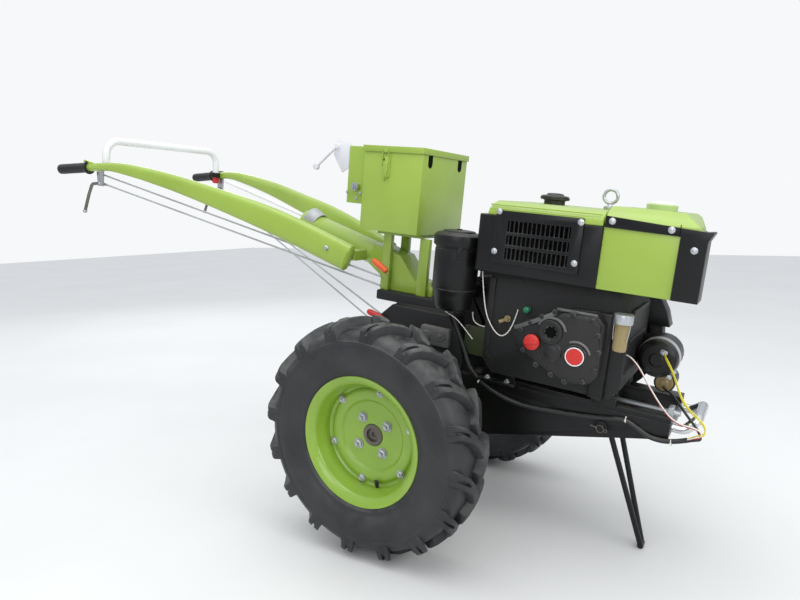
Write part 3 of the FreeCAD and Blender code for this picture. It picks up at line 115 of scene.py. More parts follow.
# %% World, lamps and floor
HORIZON, ZENITH = (0.36, 0.38, 0.41, 1.0), (0.90, 0.93, 0.98, 1.0)
scene = bpy.context.scene
scene.view_settings.view_transform = "Standard"
world = bpy.data.worlds.new("sky")
scene.world = world
world.use_nodes = True
sky = world.node_tree.nodes["Background"]
heading = world.node_tree.nodes.new("ShaderNodeTexCoord")
height = world.node_tree.nodes.new("ShaderNodeSeparateXYZ")
rise = world.node_tree.nodes.new("ShaderNodeValToRGB")
rise.color_ramp.elements[0].color = HORIZON
rise.color_ramp.elements[1].color = ZENITH
rise.color_ramp.elements[1].position = 0.8
world.node_tree.links.new(heading.outputs["Generated"], height.inputs["Vector"])
world.node_tree.links.new(height.outputs["Z"], rise.inputs["Fac"])
world.node_tree.links.new(rise.outputs["Color"], sky.inputs["Color"])
sky.inputs["Strength"].default_value = 1.25
shown = world.node_tree.nodes.new("ShaderNodeBackground")
shown.inputs["Color"].default_value = (0.93, 0.94, 0.95, 1.0)
rays = world.node_tree.nodes.new("ShaderNodeLightPath")
mixed = world.node_tree.nodes.new("ShaderNodeMixShader")
world.node_tree.links.new(rays.outputs["Is Camera Ray"], mixed.inputs["Fac"])
world.node_tree.links.new(sky.outputs["Background"], mixed.inputs[1])
world.node_tree.links.new(shown.outputs["Background"], mixed.inputs[2])
world.node_tree.links.new(mixed.outputs["Shader"], world.node_tree.nodes["World Output"].inputs["Surface"])

LAMPS = [
    # name, place, aimed at, size, power
    ("overhead", (0.6, -0.8, 4.2), (0.2, 0.0, 0.4), 4.0, 70.0),
    ("near_fill", (1.6, -4.2, 2.2), (0.2, 0.0, 0.6), 2.6, 40.0),
    ("front_fill", (4.2, -1.0, 2.0), (0.4, 0.0, 0.5), 2.4, 45.0),
    ("rear_rim", (-3.6, 2.4, 2.6), (-0.2, 0.0, 0.8), 2.0, 30.0),
]
for name, spot, aim, size, power in LAMPS:
    lamp = bpy.data.objects.new(name, bpy.data.lights.new(name, "AREA"))
    bpy.context.collection.objects.link(lamp)
    lamp.data.shape = "DISK"
    lamp.data.size = size
    lamp.data.energy = power
    lamp.location = spot
    lamp.rotation_euler = (Vector(aim) - Vector(spot)).to_track_quat("-Z", "Y").to_euler()

floor_mesh = bpy.data.meshes.new("floor")
bm = bmesh.new()
bmesh.ops.create_grid(bm, x_segments=1, y_segments=1, size=14.0)
bm.to_mesh(floor_mesh)
bm.free()
floor = bpy.data.objects.new("floor", floor_mesh)
bpy.context.collection.objects.link(floor)
floor.location.z = -0.0005
floor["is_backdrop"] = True
print("lamps", len(LAMPS))

# %% [markdown]
# Several finishes share the same three effects, so each effect is one node group with named
# inputs. "patches" gives slow and fine variation, the dust group finds the faces that look up and
# lightens them with dust, on the tyre also with a painted reflection of the sky, and "rubbed edges"
# compares the true normal with a rounded one, which differ only near edges.

# %% Shared shader groups


def new_group(name, inputs, outputs):
    tree = bpy.data.node_groups.new(name, "ShaderNodeTree")
    for label, default in inputs:
        socket = tree.interface.new_socket(name=label, in_out="INPUT", socket_type="NodeSocketFloat")
        socket.default_value = default
    for label in outputs:
        tree.interface.new_socket(name=label, in_out="OUTPUT", socket_type="NodeSocketFloat")
    start, end = tree.nodes.new("NodeGroupInput"), tree.nodes.new("NodeGroupOutput")
    return tree, start, end


def noise(tree, scale, detail=4.0, rough=0.55):
    place_node = tree.nodes.new("ShaderNodeTexCoord")
    node = tree.nodes.new("ShaderNodeTexNoise")
    node.inputs["Detail"].default_value = detail
    node.inputs["Roughness"].default_value = rough
    tree.links.new(place_node.outputs["Object"], node.inputs["Vector"])
    if isinstance(scale, float):
        node.inputs["Scale"].default_value = scale
    else:
        tree.links.new(scale, node.inputs["Scale"])
    return node.outputs["Fac"]


def ramp(tree, value, low, high):
    node = tree.nodes.new("ShaderNodeMapRange")
    node.inputs["From Min"].default_value = low
    node.inputs["From Max"].default_value = high
    tree.links.new(value, node.inputs["Value"])
    return node.outputs["Result"]


def sum_up(tree, kind, first, second):
    node = tree.nodes.new("ShaderNodeMath")
    node.operation = kind
    for socket, value in zip(node.inputs, (first, second)):
        if isinstance(value, float):
            socket.default_value = value
        else:
            tree.links.new(value, socket)
    return node.outputs["Value"]


patches, start, end = new_group("patches", [("Slow Scale", 6.0), ("Fine Scale", 120.0)], ["Slow", "Fine"])
patches.links.new(ramp(patches, noise(patches, start.outputs["Slow Scale"]), 0.35, 0.65), end.inputs["Slow"])
patches.links.new(noise(patches, start.outputs["Fine Scale"], 2.0), end.inputs["Fine"])

# mask of faces that look up: settled dust, and on the tyre also a painted reflection of the sky on the lug tops
dust_sheen_group, start, end = new_group("settled dust and painted sheen", [("Amount", 0.5), ("Scale", 18.0)], ["Mask"])
facing = dust_sheen_group.nodes.new("ShaderNodeNewGeometry")
split = dust_sheen_group.nodes.new("ShaderNodeSeparateXYZ")
dust_sheen_group.links.new(facing.outputs["Normal"], split.inputs["Vector"])
lying = ramp(dust_sheen_group, split.outputs["Z"], 0.15, 0.95)
speckle = ramp(dust_sheen_group, noise(dust_sheen_group, start.outputs["Scale"], 6.0, 0.65), 0.38, 0.68)
dust_and_sheen = sum_up(dust_sheen_group, "MULTIPLY", sum_up(dust_sheen_group, "MULTIPLY", lying, speckle), start.outputs["Amount"])
dust_sheen_group.links.new(dust_and_sheen, end.inputs["Mask"])

edges, start, end = new_group("rubbed edges", [("Amount", 0.5), ("Scale", 60.0)], ["Mask"])
soft = edges.nodes.new("ShaderNodeBevel")
soft.samples = 4
soft.inputs["Radius"].default_value = 0.0022
facing = edges.nodes.new("ShaderNodeNewGeometry")
dot = edges.nodes.new("ShaderNodeVectorMath")
dot.operation = "DOT_PRODUCT"
edges.links.new(soft.outputs["Normal"], dot.inputs[0])
edges.links.new(facing.outputs["Normal"], dot.inputs[1])
bent = ramp(edges, dot.outputs["Value"], 0.985, 0.90)
broken = ramp(edges, noise(edges, start.outputs["Scale"], 5.0, 0.7), 0.42, 0.60)
rubbed = sum_up(edges, "MULTIPLY", sum_up(edges, "MULTIPLY", bent, broken), start.outputs["Amount"])
edges.links.new(rubbed, end.inputs["Mask"])
print("groups", [g.name for g in (patches, dust_sheen_group, edges)])

# %% [markdown]
# Every finish is one call: a base colour, how rough and metallic it is, how deep its grain goes,
# how much dust has settled on its upward faces (on the tyre also a painted sky reflection there) and
# what shows where its edges are rubbed.

# %% Finishes


def linear(rgb):
    """Screen colour (0-255) as the linear colour a shader wants."""
    return tuple((v / 255 / 12.92 if v <= 10 else ((v / 255 + 0.055) / 1.055) ** 2.4) for v in rgb) + (1.0,)


def blend_colour(tree, factor, first, second):
    node = tree.nodes.new("ShaderNodeMix")
    node.data_type = "RGBA"
    tree.links.new(factor, node.inputs["Factor"])
    for socket, value in ((node.inputs["A"], first), (node.inputs["B"], second)):
        if isinstance(value, tuple):
            socket.default_value = value
        else:
            tree.links.new(value, socket)
    return node.outputs["Result"]


def use_group(tree, group, **values):
    node = tree.nodes.new("ShaderNodeGroup")
    node.node_tree = group
    for label, value in values.items():
        node.inputs[label.replace("_", " ")].default_value = value
    return node


def finish(name, slot, colour, tint, rough=0.45, metal=0.0, coat=0.0, grain=0.0006, grain_scale=260.0,
           slow_scale=5.0, dust_and_sheen=0.25, dust_and_sheen_colour=(150, 145, 132), rub=0.0, rub_colour=(120, 120, 118),
           shine=0.5):
    """One finish; slot is the record's paint or metal that it stands for."""
    material = bpy.data.materials.new(name)
    material["slot"] = slot
    material.use_nodes = True
    tree = material.node_tree
    shader = tree.nodes["Principled BSDF"]
    spread = use_group(tree, patches, Slow_Scale=slow_scale, Fine_Scale=grain_scale)
    base = blend_colour(tree, spread.outputs["Slow"], linear(colour), linear(tint))
    roughness = ramp(tree, spread.outputs["Slow"], 0.0, 1.0)
    tree.nodes[-1].inputs["To Min"].default_value = rough - 0.06
    tree.nodes[-1].inputs["To Max"].default_value = rough + 0.08
    if rub:
        worn = use_group(tree, edges, Amount=rub)
        base = blend_colour(tree, worn.outputs["Mask"], base, linear(rub_colour))
    # faces that look up are lightened: dust, and on the tyre also a painted sky reflection
    if dust_and_sheen:
        lying = use_group(tree, dust_sheen_group, Amount=dust_and_sheen)
        base = blend_colour(tree, lying.outputs["Mask"], base, linear(dust_and_sheen_colour))
        roughness = sum_up(tree, "ADD", roughness, sum_up(tree, "MULTIPLY", lying.outputs["Mask"], 0.4))
    tree.links.new(base, shader.inputs["Base Color"])
    tree.links.new(roughness, shader.inputs["Roughness"])
    shader.inputs["Metallic"].default_value = metal
    shader.inputs["Specular IOR Level"].default_value = shine
    shader.inputs["Coat Weight"].default_value = coat
    shader.inputs["Coat Roughness"].default_value = 0.12
    bump = tree.nodes.new("ShaderNodeBump")
    bump.inputs["Distance"].default_value = grain
    bump.inputs["Strength"].default_value = 0.5
    tree.links.new(spread.outputs["Fine"], bump.inputs["Height"])
    tree.links.new(bump.outputs["Normal"], shader.inputs["Normal"])
    return material


GREEN = finish("green_enamel", "green_paint", (152, 179, 70), (143, 170, 60), 0.36, coat=0.3, grain=0.0003,
               dust_and_sheen=0.2, rub=0.3, rub_colour=(110, 124, 60))
RIM_GREEN = finish("rim_enamel", "green_paint", (134, 168, 52), (124, 158, 45), 0.32, coat=0.4, grain=0.0003,
                   dust_and_sheen=0.15)
BLACK = finish("black_enamel", "black_paint", (12, 12, 13), (19, 19, 20), 0.34, grain=0.0004, dust_and_sheen=0.16, rub=0.3,
               shine=0.3)
CAST = finish("cast_black", "cast_black", (26, 26, 27), (36, 36, 36), 0.5, grain=0.0016, grain_scale=420.0,
              dust_and_sheen=0.3, dust_and_sheen_colour=(92, 90, 84), rub=0.4, shine=0.3)
COVER = finish("cover_black", "cast_black", (34, 33, 33), (20, 20, 21), 0.34, grain=0.001, grain_scale=340.0,
               dust_and_sheen=0.25, dust_and_sheen_colour=(92, 90, 84), rub=0.5, shine=0.4)
ZINC = finish("zinc", "zinc", (196, 198, 200), (168, 172, 176), 0.34, metal=0.85, dust_and_sheen=0.2)
CHROME = finish("chrome", "chrome", (215, 216, 218), (196, 198, 200), 0.18, metal=0.95, dust_and_sheen=0.15)
STEEL = finish("bare_steel", "steel", (128, 124, 118), (98, 92, 84), 0.46, metal=0.8, dust_and_sheen=0.3)
SILVER = finish("silver_paint", "zinc", (186, 188, 190), (166, 168, 170), 0.42, metal=0.3, dust_and_sheen=0.2)
DULL = finish("dull_metal", "zinc", (112, 112, 110), (82, 82, 81), 0.48, metal=0.4, dust_and_sheen=0.3)
PLATE = finish("pale_plate", "zinc", (224, 224, 228), (208, 208, 214), 0.42, dust_and_sheen=0.15)
RAW_CAST = finish("raw_casting", "cast_black", (96, 96, 94), (70, 70, 69), 0.62, grain=0.0018, grain_scale=420.0,
                  metal=0.2, dust_and_sheen=0.4)
WHITE = finish("white_enamel", "white_paint", (236, 237, 236), (226, 227, 225), 0.34, coat=0.2, dust_and_sheen=0.15)
# tyre: its lighter up-facing lug tops are partly dust and partly a painted reflection of the sky
TYRE = finish("tyre_rubber", "tyre", (27, 28, 30), (46, 47, 49), 0.46, grain=0.0008, grain_scale=320.0,
              slow_scale=9.0, dust_and_sheen=0.6, dust_and_sheen_colour=(118, 117, 112), shine=0.45)
RUBBER = finish("rubber", "rubber", (20, 20, 21), (30, 30, 31), 0.56, grain=0.0006, dust_and_sheen=0.25)
RED = finish("red_plastic", "red_plastic", (204, 42, 34), (184, 32, 28), 0.36, dust_and_sheen=0.15)
ORANGE = finish("orange_enamel", "red_plastic", (226, 92, 30), (208, 78, 24), 0.42, dust_and_sheen=0.2)
BRASS = finish("amber_bowl", "brass_bowl", (152, 136, 94), (122, 104, 62), 0.2, dust_and_sheen=0.1)
CASE = finish("battery_case", "battery_case", (30, 31, 33), (38, 39, 41), 0.5, dust_and_sheen=0.3)
# green paint darkened to olive: painted shade, for the belt guard and the head plate that lie in shadow
GREEN_IN_PAINTED_SHADE = finish("green_with_painted_shade", "black_paint", (58, 66, 40), (66, 74, 46), 0.46, grain=0.0004, dust_and_sheen=0.4,
               rub=0.4)
MUFFLER = finish("heat_black", "cast_black", (40, 38, 36), (58, 50, 44), 0.66, grain=0.0012, dust_and_sheen=0.5, rub=0.4)
LOOM = finish("loom_tape", "cable", (22, 23, 25), (34, 35, 37), 0.46, grain=0.0008, grain_scale=300.0, dust_and_sheen=0.3)
DARKCAP = finish("dark_cap", "black_paint", (40, 42, 38), (56, 58, 50), 0.45, metal=0.3, dust_and_sheen=0.3, rub=0.4)
PALE_GREEN = finish("pale_green", "green_paint", (178, 200, 132), (164, 188, 116), 0.42, dust_and_sheen=0.2)
PLUG_GREEN = finish("plug_green", "green_paint", (30, 132, 88), (24, 112, 74), 0.4, dust_and_sheen=0.15)
RED_WIRE = finish("red_wire", "cable", (206, 52, 44), (184, 42, 36), 0.42, dust_and_sheen=0.15)
YELLOW_WIRE = finish("yellow_wire", "cable", (232, 220, 62), (214, 200, 48), 0.42, dust_and_sheen=0.15)
WHITE_WIRE = finish("white_wire", "cable", (228, 226, 218), (212, 210, 202), 0.42, dust_and_sheen=0.2)
# painted shade: a near-black matte finish laid where openings and gaps are dark with shade
SHADOW = finish("painted_shade_opening", "black_paint", (6, 7, 6), (10, 11, 10), 0.8, dust_and_sheen=0.0, shine=0.1)
FLOOR = finish("pale_floor", "zinc", (214, 214, 212), (211, 211, 209), 0.8, grain=0.0004, grain_scale=90.0,
               slow_scale=1.2, dust_and_sheen=0.0)
floor_mesh.materials.append(FLOOR)
print("finishes", len(bpy.data.materials))

# %% [markdown]
# Nearly every piece is drawn in level millimetres and then placed with one matrix, so a few short
# helpers cover the hand-over: one sets which edges stay sharp, one turns a finished bmesh into a
# piece that rides on its body, and the others make the shapes that come again and again.

# %% Helpers for pieces


def shade(bm, angle):
    for face in bm.faces:
        face.smooth = True
    for edge in bm.edges:
        if len(edge.link_faces) == 2:
            edge.smooth = edge.calc_face_angle(0.0) < math.radians(angle)


def enrol(name, data, material, body, instead):
    """Put finished data into the scene as a piece that rides on its body."""
    data.materials.append(material)
    made = bpy.data.objects.new(name, data)
    bpy.context.collection.objects.link(made)
    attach(made, body)
    if instead:
        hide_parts(*instead)
    return made


def piece(name, bm, material, body="chassis", instead=(), angle=35.0, in_level=True, outward=True):
    """Finish a bmesh drawn in level millimetres as a piece of the machine."""
    bmesh.ops.remove_doubles(bm, verts=bm.verts, dist=0.002 if in_level else 1e-6)
    if outward:
        bmesh.ops.recalc_face_normals(bm, faces=bm.faces)
    if in_level:
        bmesh.ops.transform(bm, matrix=LEVEL, verts=bm.verts)
    shade(bm, angle)
    mesh = bpy.data.meshes.new(name)
    bm.to_mesh(mesh)
    bm.free()
    return enrol(name, mesh, material, body, instead)


def lathe(bm, outline, spot=(0.0, 0.0, 0.0), way=(0.0, 1.0, 0.0), steps=64, turn=2 * math.pi):
    """Spin a closed outline of (radius, along) points about the line through spot along way."""
    spot, axis = Vector(spot), Vector(way).normalized()
    out = axis.orthogonal().normalized()
    verts = [bm.verts.new(spot + axis * along + out * radius) for radius, along in outline]
    # an outline with both ends on the axis needs no line back along it
    closing = [] if outline[0][0] == outline[-1][0] == 0.0 else verts[:1]
    line = [bm.edges.new(pair) for pair in zip(verts, verts[1:] + closing)]
    bmesh.ops.spin(bm, geom=verts + line, cent=spot, axis=axis, dvec=(0, 0, 0), angle=turn, steps=steps,
                   use_merge=True, use_duplicate=False)


def ring(bm, spot, way, radius, thick, steps=48, sides=12):
    """Round bar bent to a full ring; radius is that of its middle line."""
    lathe(bm, [(radius + thick * math.cos(2 * math.pi * k / sides), thick * math.sin(2 * math.pi * k / sides))
               for k in range(sides)], spot, way, steps)


def aimed(spot, way):
    """Matrix that puts the Z axis of a shape along a direction at a spot."""
    return Matrix.Translation(Vector(spot)) @ Vector(way).to_track_quat("Z", "Y").to_matrix().to_4x4()


def disc(bm, spot, way, radius, low, high, sides=24, tip=None):
    """Short bar from low to high along a direction; tip is the radius of its far end."""
    matrix = aimed(spot, way) @ Matrix.Translation((0, 0, (low + high) / 2))
    made = bmesh.ops.create_cone(bm, cap_ends=True, segments=sides, radius1=radius,
                                 radius2=radius if tip is None else tip, depth=high - low, matrix=matrix)
    return made["verts"]


def bolt(bm, spot, way, size=8.0, washer=True, stud=False):
    """Hexagon head on its washer; size is the thread's diameter."""
    base = 0.0
    if washer:
        disc(bm, spot, way, size * 1.1, -0.2, size * 0.16, 20)
        base = size * 0.14
    wide, narrow, corner, top = size * 0.95, size * 0.72, base + size * 0.45, base + size * 0.62
    lathe(bm, [(0.0, base), (wide, base), (wide, corner), (narrow, top), (0.0, top)], spot, way, 6)
    if stud:
        disc(bm, spot, way, size * 0.48, base + size * 0.6, base + size * 0.95, 12, size * 0.36)


def rounded(bm, faces, soft, segments=2):
    rims = list({e for f in faces for e in f.edges})
    bmesh.ops.bevel(bm, geom=rims, offset=soft, offset_type="OFFSET", segments=segments, profile=0.5,
                    affect="EDGES", clamp_overlap=True, material=-1)


def block(bm, low, high, soft=1.0, turn=None):
    """Box between two corners with rounded edges, turned about its middle."""
    low, high = Vector(low), Vector(high)
    size = high - low
    matrix = Matrix.Translation((low + high) / 2) @ (turn or Matrix()) @ Matrix.Diagonal((*size, 1.0))
    verts = bmesh.ops.create_cube(bm, size=1.0, matrix=matrix)["verts"]
    rounded(bm, {f for v in verts for f in v.link_faces}, soft)


def slab(bm, corners, push, soft=0.8):
    """Flat outline of corners pushed through by a vector, with rounded edges."""
    face = bm.faces.new([bm.verts.new(c) for c in corners])
    grown = bmesh.ops.extrude_face_region(bm, geom=[face])["geom"]
    moved = [g for g in grown if isinstance(g, bmesh.types.BMVert)]
    bmesh.ops.translate(bm, vec=push, verts=moved)
    faces = {f for v in moved for f in v.link_faces} | {face}
    bmesh.ops.recalc_face_normals(bm, faces=list(faces))
    rounded(bm, faces, soft)


def plate(bm, outline, y0, y1, soft=0.8):
    """Outline of (x, z) points as a plate from y0 to y1."""
    slab(bm, [(x, y0, z) for x, z in outline], (0, y1 - y0, 0), soft)


def circle(x, z, radius, count=24, first=0.0, last=360.0):
    """Points of (x, z) on an arc; a full turn doesn't repeat its first point."""
    share = (last - first) / (count if abs(last - first) == 360.0 else count - 1)
    for k in range(count):
        a = math.radians(first + share * k)
        yield x + radius * math.cos(a), z + radius * math.sin(a)


def tubes(name, routes, radius, material, bend=None, body="chassis", instead=(), fine=8):
    """Round stock along routes in level millimetres: straight runs with a bend, or else one smooth curve."""
    curve = bpy.data.curves.new(name, "CURVE")
    curve.dimensions = "3D"
    curve.bevel_depth = radius / 1000
    curve.bevel_resolution = 4
    curve.resolution_u = fine
    curve.use_fill_caps = True
    for route in routes:
        spots = [place(*p) for p in route]
        if bend is None:
            spline = curve.splines.new("NURBS")
            spline.points.add(len(spots) - 1)
            for p, spot in zip(spline.points, spots):
                p.co = (*spot, 1.0)
            spline.order_u = 3
            spline.use_endpoint_u = True
            continue
        stops = [(spots[0], None, None)]
        for before, corner, after in zip(spots, spots[1:], spots[2:]):
            way_in, way_out = (corner - before).normalized(), (after - corner).normalized()
            turn_by = way_in.angle(way_out)
            reach = bend / 1000 * math.tan(turn_by / 2)
            pull = bend / 1000 * 4 / 3 * math.tan(turn_by / 4)
            enter, leave = corner - way_in * reach, corner + way_out * reach
            stops += [(enter, None, enter + way_in * pull), (leave, leave - way_out * pull, None)]
        stops.append((spots[-1], None, None))
        spline = curve.splines.new("BEZIER")
        spline.bezier_points.add(len(stops) - 1)
        for i, (p, (spot, left, right)) in enumerate(zip(spline.bezier_points, stops)):
            before, after = stops[max(i - 1, 0)][0], stops[min(i + 1, len(stops) - 1)][0]
            p.handle_left_type = p.handle_right_type = "FREE"
            p.co = spot
            p.handle_left = left or spot.lerp(before, 1 / 3)
            p.handle_right = right or spot.lerp(after, 1 / 3)
    return enrol(name, curve, material, body, instead)


def copied(name):
    """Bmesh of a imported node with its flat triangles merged."""
    bm = bmesh.new()
    bm.from_mesh(nodes[name].data)
    bmesh.ops.remove_doubles(bm, verts=bm.verts, dist=2e-5)
    bmesh.ops.dissolve_limit(bm, angle_limit=math.radians(0.8), verts=bm.verts, edges=bm.edges)
    return bm


BODY_OF = {node: body for body, held in frame["record"]["behaviour"]["bodies"].items() for node in held}


def softened(name, material, width=1.5, segments=2, over=30.0, angle=35.0):
    """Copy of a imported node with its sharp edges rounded; the copy stands for the node."""
    bm = copied(name)
    sharp = [e for e in bm.edges if len(e.link_faces) == 2 and e.calc_face_angle(0.0) > math.radians(over)]
    bmesh.ops.bevel(bm, geom=sharp, offset=width / 1000, offset_type="OFFSET", segments=segments, profile=0.5,
                    affect="EDGES", clamp_overlap=True, material=-1)
    return piece("soft_" + name, bm, material, BODY_OF[name], (name,), angle, in_level=False, outward=False)


print("helpers ready")

# %% [markdown]
# The tyre is the largest thing in the picture. Its casing is one outline spun about the axle. A lug is
# a thick bar that runs from the middle of the tread towards the shoulder, where two ridges go on
# down the side with a notch between them. Each bar starts as one four-cornered face and is extruded
# station by station; the ridges and the notch's floor start inside the thick bar.
# Sixteen copies a side come from spin with duplicates, the far row half a pitch behind the near one.

# %% Tyres
TYRE_MID = 370.0
LUG_COUNT = 16
LUG_STATIONS = [
    # across from the middle, degrees ahead, half width, radius of the top, radius of the foot
    (-8.0, 7.6, 12.0, 315.5, 288.0),
    (-3.0, 6.9, 14.5, 319.4, 286.0),
    (12.0, 3.4, 14.5, 319.4, 285.0),
    (28.0, -0.2, 15.0, 318.0, 283.0),
    (46.0, -3.2, 16.8, 313.6, 276.0),
]
RIDGE_STATIONS = [
    # the same, for the two ridges; the first station lies inside the thick bar
    (38.0, -2.0, 15.0, 314.6, 279.0),
    (47.0, -3.3, 16.9, 313.4, 275.5),
    (53.0, -4.1, 17.6, 311.4, 271.0),
    (60.0, -4.8, 18.0, 308.5, 266.0),
    (67.0, -5.6, 18.0, 304.0, 258.0),
    (72.5, -6.1, 17.0, 294.0, 250.0),
]
FLARE, NOTCH, NOTCH_DEEP = 4.0, 3.4, 9.0
CASING = [
    # half outline of the outside, from the bead to the middle of the tread: radius, from the middle
    (153.0, 48.0), (160.0, 53.0), (168.0, 57.5), (175.5, 60.4), (178.0, 63.6), (181.5, 65.2), (186.0, 64.6),
    (194.0, 67.6), (205.0, 71.2), (218.0, 73.8), (232.0, 74.9), (246.0, 74.6), (256.5, 73.0), (259.5, 74.3),
    (264.0, 74.0), (266.5, 71.4), (272.0, 69.2), (279.0, 65.0), (285.0, 58.5), (289.5, 49.0), (293.0, 37.0),
    (295.6, 22.0), (297.0, 8.0),
]
CASING_INSIDE = [(282.0, 8.0), (277.5, 36.0), (267.0, 56.0), (240.0, 64.0), (200.0, 60.0), (165.0, 48.0),
                 (153.0, 38.0)]


def lug_corner(y, ahead, half, radius):
    a = math.radians(ahead) + half / radius
    return Vector((radius * math.sin(a), y, radius * math.cos(a)))


def lug_section(y, ahead, half, top, foot):
    return [lug_corner(y, ahead, -half - FLARE, foot), lug_corner(y, ahead, -half, top),
            lug_corner(y, ahead, half, top), lug_corner(y, ahead, half + FLARE, foot)]


def ridge_section(sign, y, ahead, half, top, foot):
    return [lug_corner(y, ahead, sign * (half + FLARE), foot), lug_corner(y, ahead, sign * half, top),
            lug_corner(y, ahead, sign * NOTCH, top), lug_corner(y, ahead, sign * NOTCH, foot)]


def notch_section(y, ahead, half, top, foot):
    gap, floor = NOTCH + 1.0, top - NOTCH_DEEP
    return [lug_corner(y, ahead, -gap, foot), lug_corner(y, ahead, -gap, floor),
            lug_corner(y, ahead, gap, floor), lug_corner(y, ahead, gap, foot)]


def grow(bm, face, now, then):
    """Extrude a face and move its corners from the points now to the points then."""
    # with its edges handed over too, the face leaves nothing behind inside the bar
    grown = bmesh.ops.extrude_face_region(bm, geom=[face, *face.edges])["geom"]
    face = next(g for g in grown if isinstance(g, bmesh.types.BMFace))
    for vert, spot in [(min(face.verts, key=lambda v: (v.co - old).length), new) for old, new in zip(now, then)]:
        vert.co = spot
    return face


def add_bar(bm, sections):
    """Closed bar through a row of four-cornered sections."""
    face = bm.faces.new([bm.verts.new(c) for c in sections[0]])
    for now, then in zip(sections, sections[1:]):
        face = grow(bm, face, now, then)


def add_lug(bm):
    """One lug of the near row, drawn at the top of the wheel."""
    add_bar(bm, [lug_section(*s) for s in LUG_STATIONS])
    for sign in (-1, 1):
        add_bar(bm, [ridge_section(sign, *s) for s in RIDGE_STATIONS])
    add_bar(bm, [notch_section(*s) for s in RIDGE_STATIONS])


def tyre_bmesh(mirror):
    bm = bmesh.new()
    add_lug(bm)
    bmesh.ops.recalc_face_normals(bm, faces=bm.faces)
    # edges along the ground and along the lug's top are rounded; the foot stays buried in the casing,
    # and the thick bar's outer end stays square where the ridges leave it
    sharp = [e for e in bm.edges if len(e.link_faces) == 2 and e.calc_face_angle(0.0) > math.radians(28)
             and min(math.hypot(v.co.x, v.co.z) for v in e.verts) > 290
             and any(abs(v.co.y - LUG_STATIONS[-1][0]) > 0.01 for v in e.verts)]
    bmesh.ops.bevel(bm, geom=sharp, offset=2.6, offset_type="OFFSET", segments=2, profile=0.5, affect="EDGES",
                    clamp_overlap=True, material=-1)
    far = bmesh.ops.duplicate(bm, geom=bm.verts[:] + bm.edges[:] + bm.faces[:])["geom"]
    far_verts = [g for g in far if isinstance(g, bmesh.types.BMVert)]
    bmesh.ops.scale(bm, vec=(1, -1, 1), verts=far_verts)
    bmesh.ops.reverse_faces(bm, faces=[g for g in far if isinstance(g, bmesh.types.BMFace)])
    half_pitch = Matrix.Rotation(math.pi / LUG_COUNT, 3, "Y")
    bmesh.ops.rotate(bm, cent=(0, 0, 0), matrix=half_pitch, verts=far_verts)
    bmesh.ops.spin(bm, geom=bm.verts[:] + bm.edges[:] + bm.faces[:], cent=(0, 0, 0), axis=(0, 1, 0),
                   dvec=(0, 0, 0), angle=2 * math.pi, steps=LUG_COUNT, use_duplicate=True)
    bmesh.ops.remove_doubles(bm, verts=bm.verts, dist=0.01)
    bmesh.ops.rotate(bm, cent=(0, 0, 0), matrix=Matrix.Rotation(math.radians(-15.5), 3, "Y"), verts=bm.verts)
    outline = CASING + [(r, -y) for r, y in reversed(CASING)]
    outline += [(r, -y) for r, y in reversed(CASING_INSIDE)] + CASING_INSIDE
    lathe(bm, outline, steps=96)
    bmesh.ops.translate(bm, vec=(0, TYRE_MID, 0), verts=bm.verts)
    if mirror:
        bmesh.ops.scale(bm, vec=(1, -1, 1), verts=bm.verts)
        bmesh.ops.reverse_faces(bm, faces=bm.faces)
    return bm


for side_name, mirror in (("left", False), ("right", True)):
    tyre = piece("tyre_tread_" + side_name, tyre_bmesh(mirror), TYRE, "wheel_" + side_name,
                 ("tyre_" + side_name,), 30.0)
print("tyre faces", len(tyre.data.polygons))

# %% [markdown]
# The rim is pressed sheet: a rolled flange, a drop centre and a dished disc with two rings. One thin
# outline with both its sides, spun about the axle, gives all of it, so the sheet has its true
# thickness and the lips catch the light. The hub, its nuts and the valve sit on it.

# %% Rims, hubs and wheel nuts
RIM_HALF = [
    # the side towards the tyre: radius, from the wheel's middle; from the flange's lip to the well
    (172.4, 56.2), (171.4, 58.6), (166.0, 56.2), (160.0, 52.4), (156.0, 50.0), (152.6, 47.0), (150.4, 42.5),
    (148.4, 35.5), (144.0, 26.0), (141.0, 19.0), (140.0, 12.0),
]
RIM_THICK = 3.0
DISC_FACE = [
    # the disc's outside, from the well to the hub
    (138.0, 1.0), (134.0, -3.0), (129.5, -4.2), (127.0, -2.0), (124.0, 1.6), (118.0, 2.6), (101.0, 3.0),
    (96.5, 1.0), (94.0, -3.0), (91.0, -5.6), (86.0, -6.4), (40.0, -6.8), (30.5, -6.8),
]
DISC_THICK = 5.0
HUB = [
    # radius, from the machine's middle
    (0.0, 207.0), (24.0, 207.0), (24.0, 287.0), (38.0, 289.0), (38.0, 343.0), (42.0, 345.0), (72.0, 345.0),
    (74.0, 347.0), (74.0, 355.0), (72.0, 357.0), (29.5, 357.0), (29.5, 364.5), (28.0, 366.0), (18.5, 366.0),
    (17.5, 363.0), (17.5, 358.0), (7.0, 358.0), (6.0, 354.0), (0.0, 354.0),
]
OUTER_NUTS = (124.0, 6, 22.0)
INNER_NUTS = (54.0, 4, 40.0)


def sheet_outline(line, thick):
    """Closed outline of a sheet that has the line as its one side."""
    spots = [Vector(p) for p in line]
    ways = [(b - a).normalized() for a, b in zip(spots, spots[1:])]
    other = []
    for spot, way_in, way_out in zip(spots, ways[:1] + ways, ways + ways[-1:]):
        way = (way_in + way_out).normalized()
        other.append(spot + Vector((way.y, -way.x)) * thick)
    return line + [tuple(p) for p in reversed(other)]


